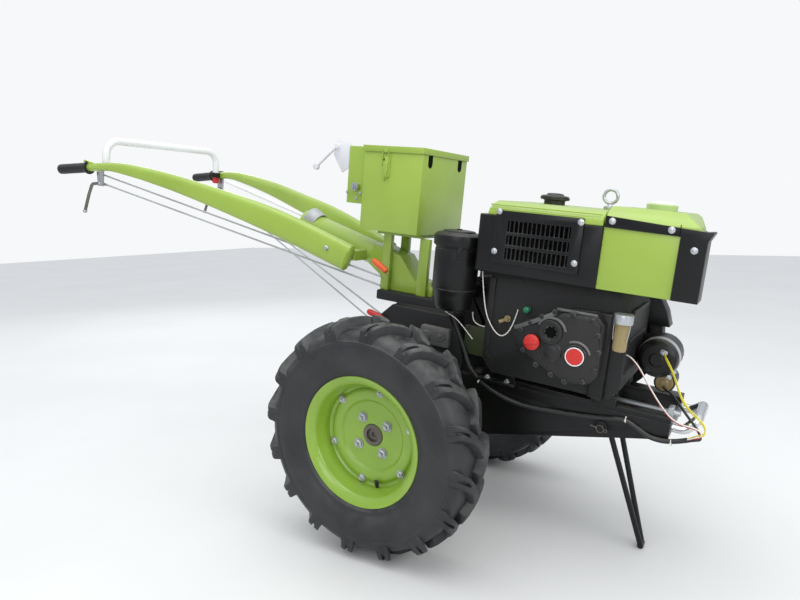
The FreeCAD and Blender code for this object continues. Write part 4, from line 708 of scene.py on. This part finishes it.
def rim_bmesh(mirror):
    bm = bmesh.new()
    rim_line = RIM_HALF + [(r, -y) for r, y in reversed(RIM_HALF)]
    lathe(bm, sheet_outline(rim_line, RIM_THICK), steps=96)
    lathe(bm, DISC_FACE + [(r, y - DISC_THICK) for r, y in reversed(DISC_FACE)], steps=96)
    bmesh.ops.recalc_face_normals(bm, faces=bm.faces)
    bmesh.ops.translate(bm, vec=(0, TYRE_MID, 0), verts=bm.verts)
    if mirror:
        bmesh.ops.scale(bm, vec=(1, -1, 1), verts=bm.verts)
        bmesh.ops.reverse_faces(bm, faces=bm.faces)
    return bm


def around(radius, count, first):
    for k in range(count):
        a = math.radians(first + 360.0 * k / count)
        yield radius * math.cos(a), radius * math.sin(a)


for side_name, sign in (("left", 1), ("right", -1)):
    body = "wheel_" + side_name
    rim = piece("rim_pressed_" + side_name, rim_bmesh(sign < 0), RIM_GREEN, body, ("rim_" + side_name,), 50.0)
    bm = bmesh.new()
    lathe(bm, HUB, way=(0, sign, 0), steps=56)
    piece("hub_turned_" + side_name, bm, STEEL, body, ("hub_" + side_name,))
    bm = bmesh.new()
    for x, z in around(*OUTER_NUTS):
        bolt(bm, (x, sign * (TYRE_MID + 1.6), z), (0, sign, 0), 10.0, stud=True)
    for x, z in around(*INNER_NUTS):
        bolt(bm, (x, sign * (TYRE_MID - 6.8), z), (0, sign, 0), 13.0, stud=True)
    piece("wheel_nuts_" + side_name, bm, ZINC, body)
    bm = bmesh.new()
    foot, tip = Vector((36.0, sign * 372.0, -146.0)), Vector((34.0, sign * 385.0, -111.0))
    disc(bm, foot, tip - foot, 6.4, -2.0, 8.0, 20, 4.6)
    disc(bm, foot, tip - foot, 4.4, 6.0, 24.0, 20)
    disc(bm, foot, tip - foot, 5.4, 24.0, 37.0, 20, 4.8)
    piece("valve_" + side_name, bm, RUBBER, body)
print("rim faces", len(rim.data.polygons))

# %% [markdown]
# Most of the sheet and cast pieces keep their modelled shape. What they lack is the small round on
# every edge that catches the light, so each is copied, its flat triangles are merged, and its sharp
# edges are rounded by an amount that suits how it was made: little on sheet, more on a casting.

# %% Rounded copies of sheet and cast pieces
ROUNDED = [
    # node, finish, width of the round in mm, segments
    ("axle_housing_left", CAST, 4.0, 2), ("axle_housing_right", CAST, 4.0, 2), ("battery", CASE, 4.0, 2),
    # the belt guard takes the green darkened with painted shade
    ("battery_box", GREEN, 1.3, 2), ("battery_lid", GREEN, 1.3, 2), ("belt_guard", GREEN_IN_PAINTED_SHADE, 1.2, 2),
    ("box_bracket", GREEN, 1.5, 2), ("box_fittings", GREEN, 0.8, 2), ("clutch_housing", CAST, 5.0, 3),
    ("clutch_pulley", CAST, 1.0, 2), ("cylinder_head", CAST, 5.0, 3), ("engine_block", CAST, 5.0, 3),
    ("engine_rails", BLACK, 1.6, 2), ("flywheel", CAST, 2.0, 2), ("flywheel_guard", BLACK, 1.0, 2),
    ("frame_front", BLACK, 2.0, 2), ("frame_side_left", BLACK, 2.4, 2), ("frame_side_right", BLACK, 2.4, 2),
    ("fuel_tank", GREEN, 6.0, 4), ("gear_cover", COVER, 4.0, 3), ("gearbox", CAST, 8.0, 3),
    ("grille", BLACK, 1.0, 2), ("hitch", CAST, 3.0, 2), ("hood", GREEN, 4.0, 3), ("muffler", MUFFLER, 2.0, 2),
    ("radiator_shroud", BLACK, 3.0, 3), ("stand_pin", BLACK, 1.0, 2), ("switch_box", GREEN, 2.5, 3),
    ("tank_frame", BLACK, 1.2, 2), ("throttle_lever", PLATE, 1.0, 2), ("v_belts", RUBBER, 0.8, 2),
    ("filter_head", ZINC, 1.0, 2), ("handle_stem", GREEN, 2.0, 2), ("tension_rod", ZINC, 0.8, 2),
    ("starter_motor", BLACK, 2.0, 2),
]
for name, material, width, segments in ROUNDED:
    softened(name, material, width, segments)
print("rounded copies", len(ROUNDED))

# %% [markdown]
# The handlebars are flattened tubes. Their modelled flats are wide, so the copies get a subdivision
# surface with the end rings creased, which gives the true oval. The rear ring is then pushed a little
# way into the grip, so that its rim doesn't show at the grip's collar.

# %% Handle arms
CREASE = 0.85
INTO_GRIP = 0.014


def smooth_tube(name, material, over=50.0):
    """Copy of a long node whose lengthwise facets are made round by subdivision."""
    bm = copied(name)
    crease = bm.edges.layers.float.new("crease_edge")
    for edge in bm.edges:
        if len(edge.link_faces) == 2 and edge.calc_face_angle(0.0) > math.radians(over):
            edge[crease] = CREASE
    end = min(bm.faces, key=lambda face: face.calc_center_median().x)
    bmesh.ops.translate(bm, vec=end.normal * INTO_GRIP, verts=end.verts[:])
    made = piece("smooth_" + name, bm, material, BODY_OF[name], (name,), 50.0, in_level=False, outward=False)
    mod = made.modifiers.new("round", "SUBSURF")
    mod.levels = mod.render_levels = 2
    return made


for name in ("handle_arm_left", "handle_arm_right"):
    smooth_tube(name, GREEN)

# %% [markdown]
# Bars, rods and levers are bent round stock. Each follows its modelled line with round corners: the
# white bar between the handles, the chromed loop at the nose, the brake rod, the thin rods from the
# levers to the gearbox, and the levers themselves.

# %% Bent bars, rods and levers
CROSSBAR_LINE = [(-1285, -258.5, 612), (-1285, -258.5, 718.5), (-1285, 258.5, 718.5), (-1285, 258.5, 612)]
BUMPER_LINE = [(682, -92, 133), (712, -92, 133), (735.5, -70, 158), (735.5, 70, 158), (712, 92, 133),
               (682, 92, 133)]
ROD_LINES = [
    [(-1286, -276.7, 598), (-190, -81.3, 372)], [(-1282, -274.7, 565.5), (-190, -81.3, 344)],
    [(-1282, 274.7, 566), (-170, 82, 165)], [(-1290, 274.7, 564), (-170, 84, 112)],
]
tubes("crossbar_tube", [CROSSBAR_LINE], 13.2, WHITE, 50, instead=("crossbar",))
tubes("bumper_tube", [BUMPER_LINE], 12.2, CHROME, 22, instead=("front_bumper",))
tubes("brake_rod_bar", [[(-1180, 222, 602), (-540, 45.4, 500)]], 6.8, WHITE, 10, instead=("brake_rod",))
tubes("control_rod_bars", ROD_LINES, 3.0, SILVER, 10, instead=("control_rods",))
levers = [[(-1280, sign * 284, 566), (-1330, sign * 284, 560), (-1350, sign * 284, 520),
           (-1374, sign * 284, 458)] for sign in (-1, 1)]
tubes("lever_bars", levers, 5.6, STEEL, 18, instead=("steering_levers",))
bm = bmesh.new()
for sign in (-1, 1):
    plate(bm, [(-1298, 606.2), (-1264, 609.8), (-1266, 556), (-1292, 556)], sign * 280, sign * 288, 1.0)
    bolt(bm, (-1280, sign * 288, 566), (0, sign, 0), 6.0)
    bmesh.ops.create_uvsphere(bm, u_segments=20, v_segments=12, radius=7.6,
                              matrix=Matrix.Translation((-1374, sign * 284, 457.6)))
    disc(bm, (-1282, sign * 274.7, 565.5), (-0.98, sign * 0.05, 0.18), 5.0, -20.0, 6.0, 12)
piece("lever_brackets", bm, ZINC)
bm = bmesh.new()
for sign in (-1, 1):
    lathe(bm, [(13.4, -6), (17.5, -6), (18.5, -5), (18.5, 14), (17.5, 15), (13.4, 15)], (-1285, sign * 258.5, 618),
          (0, 0, 1), 40)
block(bm, (-1294, 282, 590), (-1276, 298, 642), 3.0)
piece("bar_clamps", bm, BLACK)
bm = bmesh.new()
block(bm, (-1296, 250, 588), (-1276, 272, 617), 4.0)
piece("stop_knob", bm, RED)
bm = bmesh.new()
slab(bm, [(-1356, -293, 638), (-1344, -293, 645), (-1304, -288, 635), (-1304, -288, 627), (-1344, -293, 634)],
     (0, -10, 0), 1.2)
piece("grip_trigger", bm, GREEN)
print("rods", len(ROD_LINES))

# %% [markdown]
# The grips are ribbed rubber with a collar at the inner end. The outline of one grip is a formula: a
# ripple along its length between two plain ends. The other grip is the same outline on its own line.

# %% Grips
RIPPLE_DEPTH, RIPPLE_STEP, RIPPLES = 1.1, 8.8, 10
ripple = [(18.0 - RIPPLE_DEPTH * (0.5 - 0.5 * math.cos(math.pi * k / 2)), 24.0 + k * RIPPLE_STEP / 4)
          for k in range(RIPPLES * 4 + 1)]
grip = [(0.0, 0.0), (23.4, 0.0), (24.0, 2.0), (24.0, 6.0), (23.0, 8.0), (18.6, 9.5), (18.2, 20.0)] + ripple
bm = bmesh.new()
for sign in (-1, 1):
    start, end = Vector((-1330.3, sign * 293.0, 618.0)), Vector((-1476.0, sign * 313.9, 601.3))
    length = (end - start).length
    tip = [(18.0, length - 14), (17.6, length - 5), (14.0, length - 0.6), (0.0, length)]
    lathe(bm, grip + tip, start, end - start, 40)
piece("rubber_grips", bm, RUBBER, instead=("grips",))
print("grip length", round(length, 1))

# %% [markdown]
# The front stand is a cross tube on its pin with two legs that close towards a short foot bar. It is
# drawn in its lowered place and turns with its own body.

# %% Front stand
bm = bmesh.new()
STAND_TUBE = [(9.05, -84.0), (13.4, -84.0), (14.0, -83.4), (14.0, 83.4), (13.4, 84.0), (9.05, 84.0)]
lathe(bm, STAND_TUBE, (525, 0, 99), (0, 1, 0), 40)
lathe(bm, [(0, -13.5), (7.4, -13.5), (8.0, -12.9), (8.0, 12.9), (7.4, 13.5), (0, 13.5)], (650.3, 0, -239.6),
      (0, 1, 0), 28)
piece("stand_tube", bm, BLACK, "stand", ("stand",))
tubes("stand_legs", [[(527.8, s * 60, 91.5), (650.3, s * 10, -239.0)] for s in (-1, 1)], 7.4, BLACK, 10, "stand")
bm = bmesh.new()
ring(bm, (526, -143.4, 99), (0.15, 1, 0.1), 9.5, 1.1, 36, 8)
ring(bm, (540, -143.2, 97), (0.3, 1, 0.1), 4.0, 1.0, 24, 8)
disc(bm, (508, -143.4, 102), (1, 0, -0.16), 1.2, -6.0, 12.0, 10)
piece("stand_clip", bm, STEEL)
print("stand pieces", 3)

# %% [markdown]
# The sheet box behind the engine carries small fittings that the model leaves plain: two louvre slots
# under the lid, drawn as near-black slabs of painted shade, the key switch with its little bits and the
# bolts of the handle joint.

# %% Battery box and switch box details
bm = bmesh.new()
# each slot is a thin near-black slab on the box's face: painted shade where the real slot is an opening
for y in (-72, 122):
    outline = [(y - 13, 742), (y + 13, 742)] + list(circle(y, 719, 13, 16, 0.0, -180.0))
    slab(bm, [(-59.6, a, z) for a, z in outline], (-3.0, 0, 0), 0.3)
piece("box_slots_painted_shade", bm, SHADOW)
bm = bmesh.new()
disc(bm, (-292, -110, 636), (0, -1, 0), 13.0, -1.0, 3.0, 32)
disc(bm, (-292, -110, 636), (0, -1, 0), 9.0, 3.0, 8.0, 32, 8.0)
block(bm, (-293.5, -122, 629), (-290.5, -117, 643), 0.5)
for x, z in ((-270, 618), (-318, 618), (-284, 602)):
    bolt(bm, (x, -110, z), (0, -1, 0), 4.5)
piece("box_screws", bm, ZINC)
bm = bmesh.new()
plate(bm, [(-195, 736), (-169, 736), (-174, 700), (-178, 674), (-186, 674), (-190, 700)], -116.5, -119.6, 0.8)
plate(bm, [(-189, 726), (-175, 726), (-178, 690), (-180, 662), (-185, 662), (-187, 690)], -121, -124.5, 1.2)
block(bm, (-189, -124.5, 716), (-175, -118, 728), 1.5)
block(bm, (-190, -124, 741), (-174, -120, 753), 1.2)
for x, z in ((-191, 730), (-173, 730), (-182, 680)):
    disc(bm, (x, -119.4, z), (0, -1, 0), 2.4, -0.5, 1.4, 16, 1.6)
piece("latch_plates", bm, GREEN)
tubes("latch_wire", [[(-180, -122.5, 752), (-193, -122.5, 748), (-192, -122.5, 700), (-182, -123, 696),
                      (-172, -122.5, 700), (-171, -122.5, 748), (-184, -122.5, 752)]], 1.6, GREEN, 3)

# %% [markdown]
# The stem's clamp is bright, and the arms are bolted through it in rows. Below it hang the two
# coloured handles of the gear rods.

# %% Stem collar, arm bolts and coloured handles
bm = bmesh.new()
ARM_SIDE = 151.0
for sign in (-1, 1):
    bolt(bm, (-352, sign * ARM_SIDE, 443), (0.16, sign, 0), 9.0, stud=True)
piece("arm_bolts", bm, ZINC)
bm = bmesh.new()
stem_way = Vector((-72, 0, 36)).normalized()
lathe(bm, [(31, -2), (35, -2), (36, 0), (36, 40), (35, 42), (31, 42)], (-505, 0, 500), stem_way, 40)
piece("stem_collar", bm, SILVER)
HANDLE = [(0, 0), (6, 0), (8, 2), (9.4, 12), (10, 30), (9.6, 48), (7, 56), (3, 59), (0, 59.4)]
for name, spot, way, material in (("gear_handle_orange", (-150, -116, 396), (-0.86, -0.05, 0.5), ORANGE),
                                  ("gear_handle_red", (-151, -116, 252), (-0.97, 0, 0.24), RED)):
    bm = bmesh.new()
    lathe(bm, HANDLE, spot, way, 32)
    piece(name, bm, material)
print("coloured handles", 2)

# %% [markdown]
# The oil-bath air cleaner is a turned can: a narrow bowl below, a wide body, and a lid whose rim
# overhangs. Two spring clips hold the lid, and a short pipe runs to the cylinder head.

# %% Air cleaner
CLEANER = (100, -170, 0)
bm = bmesh.new()
lathe(bm, [(0, 331), (30, 331), (46, 336), (52, 346), (54, 372), (57, 384), (60, 392), (60.5, 470), (60.5, 498),
           (59, 500), (59, 503), (61, 505), (61, 507), (65, 508.5), (66, 511), (66, 530), (64.5, 536), (58, 541),
           (44, 544), (42, 547.5), (30, 549), (0, 549.5)], CLEANER, (0, 0, 1), 72)
ring(bm, (100, -170, 392), (0, 0, 1), 60.0, 1.6, 72, 8)
disc(bm, (132, -150, 388), (0, 1, 0), 22.0, 0.0, 72.0, 40)
disc(bm, (132, -96, 388), (0, 1, 0), 26.0, 0.0, 6.0, 40)
piece("air_cleaner_can", bm, BLACK, instead=("air_cleaner",))
bm = bmesh.new()
for turn_deg in (-60, 20, 140):
    turned = Matrix.Rotation(math.radians(turn_deg), 3, "Z")
    for low, high in (((62.0, -4.0, 470.0), (64.6, 4.0, 508.0)), ((60.0, -5.0, 462.0), (66.0, 5.0, 472.0))):
        middle = turned @ ((Vector(low) + Vector(high)) / 2) + Vector((100, -170, 0))
        half = (Vector(high) - Vector(low)) / 2
        block(bm, middle - half, middle + half, 0.8, turned.to_4x4())
disc(bm, (100, -170, 549), (0, 0, 1), 7.0, -1.0, 3.0, 24)
piece("cleaner_clips", bm, BLACK)
print("air cleaner ready")

# %% [markdown]
# On top of the hood are the radiator's cap with its two ears, the fuel cap with a pale dome and the
# lifting eye. All three are turned shapes; the cap's ears are small slabs.

# %% Caps and lifting eye
HOOD_TOP = 637.0
CAP_AT, FUEL_AT, EYE_AT = (312, -60, HOOD_TOP), (576, -60, HOOD_TOP), (453, -60, 670)
UP = (0, 0, 1)
bm = bmesh.new()
lathe(bm, [(0, 0), (27, 0), (27, 10), (30, 12), (35, 12), (36.4, 13.4), (36.4, 20), (34, 23), (23, 24.5),
           (20, 28.5), (8, 30), (0, 30)], CAP_AT, UP, 56)
for sign in (-1, 1):
    corners = [(312 + sign * 30, -60 + y, HOOD_TOP + 14) for y in (-9, 9)]
    corners += [(312 + sign * 37.8, -60 + y, HOOD_TOP + 14) for y in (6, -6)]
    slab(bm, corners, (0, 0, 5), 0.8)
piece("radiator_cap", bm, DARKCAP, instead=("filler_caps",))
bm = bmesh.new()
lathe(bm, [(0, 0), (30, 0), (30, 6), (34, 7), (35.6, 9), (35.6, 22), (34, 24), (29, 24.5), (0, 24.5)], FUEL_AT, UP, 64)
piece("fuel_cap", bm, PALE_GREEN)
bm = bmesh.new()
lathe(bm, [(0, 23.5), (28, 23.5), (28.4, 26), (26, 29), (18, 31.2), (8, 32), (0, 32)], FUEL_AT, UP, 56)
piece("fuel_cap_dome", bm, WHITE)
bm = bmesh.new()
ring(bm, EYE_AT, (0, 1, 0), 16.75, 4.2, 56, 16)
lathe(bm, [(0, -33), (13, -33), (14, -31), (14, -26), (12, -24.5), (7, -24), (6, -22), (6, -19), (0, -19)], EYE_AT,
      UP, 32)
piece("lifting_eye_ring", bm, ZINC, instead=("lifting_eye",))

# %% [markdown]
# The sheet round the tank is screwed on, and so is the grille. The hood's skirt has a folded bead
# along its side and a crease where its tongue laps the band.

# %% Sheet screws and folds
SCREWS = [
    # x, y, z on the right side, size
    (229, -227.0, 611), (431.6, -227.0, 605), (226.6, -227.0, 512), (428.2, -227.0, 508.5),
    (499, -218.6, 614.6), (625.5, -218.6, 608.6), (676.5, -218.6, 569.7),
]
bm = bmesh.new()
for x, y, z in SCREWS:
    lathe(bm, [(0, -1), (7.4, -1), (7.6, 0.6), (6.4, 1.4), (5.4, 1.6), (5.2, 3.2), (3.8, 4.2), (0, 4.4)], (x, y, z),
          (0, -1, 0), 24)
piece("sheet_screws", bm, ZINC)
tubes("hood_beads", [[(202, -219.0, 627), (476, -219.0, 627)], [(202, -219.6, 617), (434, -219.6, 617)]], 1.7,
      GREEN, 5)
tubes("tongue_crease", [[(456, -220.2, 620), (456, -220.2, 603)]], 1.2, GREEN, 5)
# the seam is a thin near-black line: painted shade in the gap of the band's seam
tubes("band_seam_painted_shade", [[(643, -219.2, 622), (643, -219.2, 598)]], 0.9, SHADOW, 5)
print("screws", len(SCREWS))

# %% [markdown]
# The gear cover faces the camera. Its starting hole has teeth inside a collar and a near-black disc of
# painted shade for its depth, a round boss stands below it, and two red caps, black cover bolts and
# bright curved pads lie round them.

# %% Gear cover
FACE_Y = -238.0
OUT = (0, -1, 0)
START_HOLE, BOSS, KNOB, RED_DISC = (399.5, 339), (405, 291), (356, 306), (463, 292)
bm = bmesh.new()
lathe(bm, [(15, -3), (21, -3), (22, 0), (22, 4), (21, 5.5), (17, 6), (15.5, 5), (15, 3)],
      (START_HOLE[0], FACE_Y, START_HOLE[1]), OUT, 48)
for x, z in circle(*START_HOLE, 15.5, 8):
    block(bm, (x - 3, FACE_Y - 4, z - 3), (x + 3, FACE_Y + 2, z + 3), 0.8,
          Matrix.Rotation(-math.atan2(z - START_HOLE[1], x - START_HOLE[0]), 4, "Y"))
lathe(bm, [(0, -2), (26, -2), (26, 1), (24, 3.4), (14, 4.6), (12, 5.6), (0, 6)], (BOSS[0], FACE_Y, BOSS[1]), OUT, 56)
lathe(bm, [(24, -2), (28, -2), (28, 3), (27, 4), (25, 4), (24, 3)], (RED_DISC[0], FACE_Y, RED_DISC[1]), OUT, 56)
COVER_BOLTS = [(324, 330), (346, 352), (372, 372), (402, 388), (446, 390), (490, 384), (508, 352), (514, 312),
               (512, 268), (488, 236), (446, 226), (412, 236), (372, 252), (336, 282)]
for x, z in COVER_BOLTS:
    bolt(bm, (x, FACE_Y + 2, z), OUT, 7.0)
piece("cover_fittings", bm, COVER)
bm = bmesh.new()
# near-black disc inside the start hole: painted shade for the hole's depth
disc(bm, (START_HOLE[0], FACE_Y, START_HOLE[1]), OUT, 15.0, -2.0, 1.0, 32)
piece("start_hole_painted_shade", bm, SHADOW)
bm = bmesh.new()
lathe(bm, [(0, -1), (17, -1), (19.5, 2), (20, 6), (19, 9), (15, 11), (0, 12)], (KNOB[0], FACE_Y, KNOB[1]), OUT, 48)
block(bm, (KNOB[0] - 17, FACE_Y - 14.5, KNOB[1] - 4), (KNOB[0] + 17, FACE_Y - 9, KNOB[1] + 3), 1.6,
      Matrix.Rotation(math.radians(-12), 4, "Y"))
lathe(bm, [(0, -1), (22, -1), (22, 5), (20, 6.4), (0, 6.4)], (RED_DISC[0], FACE_Y, RED_DISC[1]), OUT, 56)
for x, z in list(circle(*RED_DISC, 7.5, 6)) + list(circle(*RED_DISC, 14.5, 10)):
    disc(bm, (x, FACE_Y - 6.2, z), OUT, 1.9, -0.4, 1.0, 10)
piece("cover_caps_red", bm, RED, instead=("cover_caps",))
bm = bmesh.new()
ring(bm, (RED_DISC[0], FACE_Y - 5.8, RED_DISC[1]), OUT, 21.4, 1.5, 56, 10)
piece("red_cap_rim", bm, PLATE)


def arc_pad(bm, centre, inner, outer, first, last, low, high):
    """Curved pad on the cover between two radii, from one direction to another."""
    near = list(circle(*centre, inner, 14, first, last))
    far = list(circle(*centre, outer, 14, last, first))
    plate(bm, near + far, FACE_Y - low, FACE_Y - high, 0.7)


bm = bmesh.new()
arc_pad(bm, START_HOLE, 32, 38, 158, 12, -1.0, 3.0)
arc_pad(bm, RED_DISC, 33, 38, 118, 18, -1.0, 3.0)
plate(bm, [(304, 337), (352, 362), (400, 390), (406, 382), (356, 352), (310, 329)], -236, -240.5, 1.0)
plate(bm, [(404, 393), (500, 393), (500, 399), (404, 399)], -226, -232, 1.0)
piece("cover_pads", bm, DULL)
print("cover bolts", len(COVER_BOLTS))

# %% [markdown]
# In front of the cover stands the black governor column on its foot. Behind it are the cast plate on
# the gearbox, the plate on the cylinder head in green darkened with painted shade, and the slotted
# bracket that ties the engine down.

# %% Column, plates and rear bracket
bm = bmesh.new()
block(bm, (492, -200, 190), (530, -170, 400), 5.0)
block(bm, (500, -152, 163), (556, -128, 192), 3.0)
block(bm, (504, -196, 186), (530, -150, 204), 3.0)
block(bm, (188, -152, 150), (296, -128, 158), 2.0)
slab(bm, [(188, -130, 156), (296, -130, 156), (262, -130, 223), (214, -130, 223)], (0, -6, 0), 1.2)
piece("mount_blocks", bm, BLACK)
bm = bmesh.new()
for x, y, z in ((528, -150, 192), (518, -150, 192), (540, -140, 192)):
    bolt(bm, (x, y, z), UP, 8.0, stud=True)
bolt(bm, (258, -136, 190), OUT, 9.0, stud=True)
for x in (214, 270):
    bolt(bm, (x, -140, 158), UP, 8.0, stud=True)
piece("mount_bolts", bm, ZINC)
bm = bmesh.new()
block(bm, (-17, -124, 206), (78, -100, 262), 7.0)
for x, z in ((4, 232), (52, 240)):
    disc(bm, (x, -122, z), OUT, 17.0, -2.0, 8.0, 32, 14.0)
    bolt(bm, (x, -129, z), OUT, 7.0)
piece("selector_casting", bm, RAW_CAST)
bm = bmesh.new()
# green darkened with painted shade, as the plate lies in shadow
plate(bm, [(114, 199), (247, 199), (247, 272), (228, 282), (114, 282)], -90, -96, 2.0)
piece("head_plate", bm, GREEN_IN_PAINTED_SHADE)
bm = bmesh.new()
for x, z in ((120, 205), (120, 276), (184, 276), (241, 205), (184, 205)):
    bolt(bm, (x, -96, z), OUT, 6.0)
piece("plate_bolts", bm, STEEL)
bm = bmesh.new()
lathe(bm, [(0, -2), (9, -2), (9, 6), (6, 7), (6, 16), (4, 18), (0, 18)], (263, -170, 337), OUT, 24)
lathe(bm, [(0, 0), (5, 0), (5, 14), (0, 14)], (256, -178, 333), (-0.8, -0.4, -0.4), 20)
piece("injection_unions", bm, BRASS)
bm = bmesh.new()
lathe(bm, [(0, -2), (8, -2), (8, 14), (5, 16), (0, 16)], (316, -180, 372), OUT, 24)
piece("green_plug", bm, PLUG_GREEN)
tubes("short_white_leads", [
    [(66, -150, 323), (86, -152, 314), (105, -150, 307), (128, -148, 288), (160, -146, 257)],
    [(150, -140, 330), (152, -142, 314), (165, -146, 301), (195, -150, 297), (222, -152, 306), (251, -158, 340)],
], 1.7, WHITE_WIRE)
print("column and plates ready")

# %% [markdown]
# The fuel filter hangs from its head by a wire bail and has a see-through amber bowl. The starter is a
# black drum with a steel band and its switch drum below, whose terminal end is brass.

# %% Fuel filter and starter
bm = bmesh.new()
lathe(bm, [(0, 388), (12, 388), (17, 389), (21, 392), (21.6, 398), (21.6, 404), (19, 407), (12, 409), (9, 410),
           (0, 410)], (557, -228, 0), UP, 48)
ring(bm, (557, -228, 391), UP, 19.0, 2.2, 48, 10)
piece("filter_cap", bm, SILVER)
bm = bmesh.new()
lathe(bm, [(0, 322.5), (11, 322.5), (14, 324), (15.4, 327), (15.8, 332), (15.8, 380), (17, 383), (17, 388), (0, 388)],
      (557, -228, 0), UP, 48)
piece("filter_glass", bm, BRASS, instead=("filter_bowl",))
tubes("filter_bail", [[(557 + s * 18, -232, 394), (557 + s * 18.6, -234, 372), (557 + s * 15, -238, 350)]
                      for s in (-1, 1)], 1.0, ZINC)
STARTER, SWITCH = (617, 277), (639, 211)
bm = bmesh.new()
lathe(bm, [(50.2, 30), (51.2, 31), (51.2, 54), (50.2, 55), (49, 55), (49, 30)], (STARTER[0], -39, STARTER[1]),
      (0, 1, 0), 64)
piece("starter_band", bm, SILVER)
bm = bmesh.new()
lathe(bm, [(0, -4), (14, -4), (16, -2), (20, 0), (20, 1), (0, 1)], (STARTER[0], -38.5, STARTER[1]), (0, 1, 0), 40)
for x, z in circle(*STARTER, 34, 2, 60.0, 240.0):
    bolt(bm, (x, -39, z), OUT, 6.0)
piece("starter_end", bm, BLACK)
bm = bmesh.new()
bolt(bm, (632, -39, 300), OUT, 8.0, stud=True)
bolt(bm, (672 - 10, -34, 254), OUT, 5.0, stud=True)
lathe(bm, [(0, -1), (6, -1), (6, 8), (3, 9), (3, 14), (0, 14)], (650, -20, 236), (0.2, -1, 0), 20)
piece("starter_terminals", bm, ZINC)
bm = bmesh.new()
lathe(bm, [(0, -5), (8, -5), (10, -3), (21, -2), (22, 0), (22, 2), (0, 2)], (SWITCH[0], 6.0, SWITCH[1]), (0, 1, 0), 36)
piece("switch_cap", bm, BRASS)
print("filter and starter ready")

# %% [markdown]
# The wiring is held by the machine all along, so each cord repeats its modelled route. The loom is a
# taped bundle that leaves the controls, runs down behind the wheel and along the frame to the nose.

# %% Loom and wires
LOOM_ROUTE = [
    (-30, -40, 494), (10, -52, 452), (42, -66, 372), (66, -96, 318), (96, -113, 268), (128, -116, 214),
    (156, -136, 174), (190, -136, 143), (250, -136, 116), (314, -136, 103), (420, -136, 111), (522, -136, 124),
    (578, -136, 138), (612, -136, 122), (644, -136, 106), (690, -136, 109), (724, -136, 125),
]
PAIR_ROUTE = [(562.1, -150, 300), (582, -151, 296), (640, -160, 216), (690, -156, 162), (744, -148, 160),
              (754, -140, 141), (736.8, -138.6, 133.2), (723.15, -138.6, 126.8)]
YELLOW_ROUTE = [(634, -39.1, 296), (634, -58, 296), (664, -80, 262), (700, -112, 196), (752, -128, 168),
                (760, -132, 144), (736.8, -133.4, 133.2), (723.15, -133.4, 126.8)]
STARTER_ROUTE = [(640, 6.9, 202), (640, -14, 202), (668, -60, 206), (704, -112, 184), (744, -124, 148),
                 (752, -133, 132), (738.8, -136, 128.9), (725.2, -136, 122.5)]
FEED_ROUTE = [(186, -190, 455.8), (200, -190, 360), (228, -186, 306), (258, -184, 286), (282, -182, 318),
              (288, -171.6, 366)]


def beside(route, y, z):
    """The same route a little to one side, with both ends kept."""
    return [route[0]] + [(a, b + y, c + z) for a, b, c in route[1:-1]] + [route[-1]]


tubes("loom_bundle", [LOOM_ROUTE], 6.0, LOOM, instead=("cable_loom",), fine=12)
tubes("wire_red", [PAIR_ROUTE], 1.5, RED_WIRE, instead=("thin_wires",))
tubes("wire_white", [beside(PAIR_ROUTE, -2.6, 3.0), FEED_ROUTE], 1.5, WHITE_WIRE)
tubes("wire_yellow", [YELLOW_ROUTE, beside(YELLOW_ROUTE, -1.0, 5.0)], 1.5, YELLOW_WIRE)
tubes("wire_black", [STARTER_ROUTE], 3.2, LOOM)
bm = bmesh.new()
for spot, way in (((190, -136, 143), (1, 0, -0.6)), ((582, -136, 137), (1, 0, 0.1)), ((690, -136, 109), (1, 0, 0.2))):
    ring(bm, spot, way, 7.4, 1.3, 28, 8)
    bmesh.ops.create_cube(bm, size=4.0, matrix=aimed(Vector(spot) + Vector((0, -8.6, 0)), way))
piece("cable_ties", bm, WHITE_WIRE)
print("wires", 6)

# %% [markdown]
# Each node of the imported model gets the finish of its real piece. The table goes by the start of
# the node's name, because left and right pieces share a finish.

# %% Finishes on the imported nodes
FINISH_OF = [
    ("tyre", TYRE), ("rim", GREEN), ("hub", STEEL), ("axle", BLACK), ("battery_box", GREEN), ("battery_lid", GREEN),
    # the belt guard node takes the green darkened with painted shade
    ("battery", CASE), ("belt_guard", GREEN_IN_PAINTED_SHADE), ("box_bracket", GREEN), ("box_fittings", GREEN), ("brake_rod", WHITE),
    ("cable_loom", LOOM), ("clutch", CAST), ("control_rods", ZINC), ("cover_caps", RED), ("crossbar", WHITE),
    ("cylinder", CAST), ("engine_block", CAST), ("engine_rails", BLACK), ("filler_caps", DARKCAP),
    ("filter_bowl", BRASS), ("filter_head", ZINC), ("flywheel_guard", BLACK), ("flywheel", CAST), ("frame", BLACK),
    ("front_bumper", CHROME), ("fuel_tank", GREEN), ("gear_cover", CAST), ("gearbox", CAST), ("grille", BLACK),
    ("grips", RUBBER), ("handle", GREEN), ("hitch", BLACK), ("hood", GREEN), ("lifting_eye", ZINC),
    ("muffler", MUFFLER), ("radiator_shroud", BLACK), ("stand", BLACK), ("starter", BLACK), ("steering_levers", STEEL),
    ("switch_box", GREEN), ("tank_frame", BLACK), ("tension_rod", ZINC), ("thin_wires", LOOM), ("throttle", ZINC),
    ("v_belts", RUBBER), ("air_cleaner", BLACK),
]


def finish_of(name):
    for prefix, material in FINISH_OF:
        if name.startswith(prefix):
            return material
    raise ValueError("no finish for " + name)


for name, node in nodes.items():
    node.data.materials.clear()
    node.data.materials.append(finish_of(name))
print("dressed nodes", len(nodes))

# %% Sizes of the shown pieces
low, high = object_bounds()
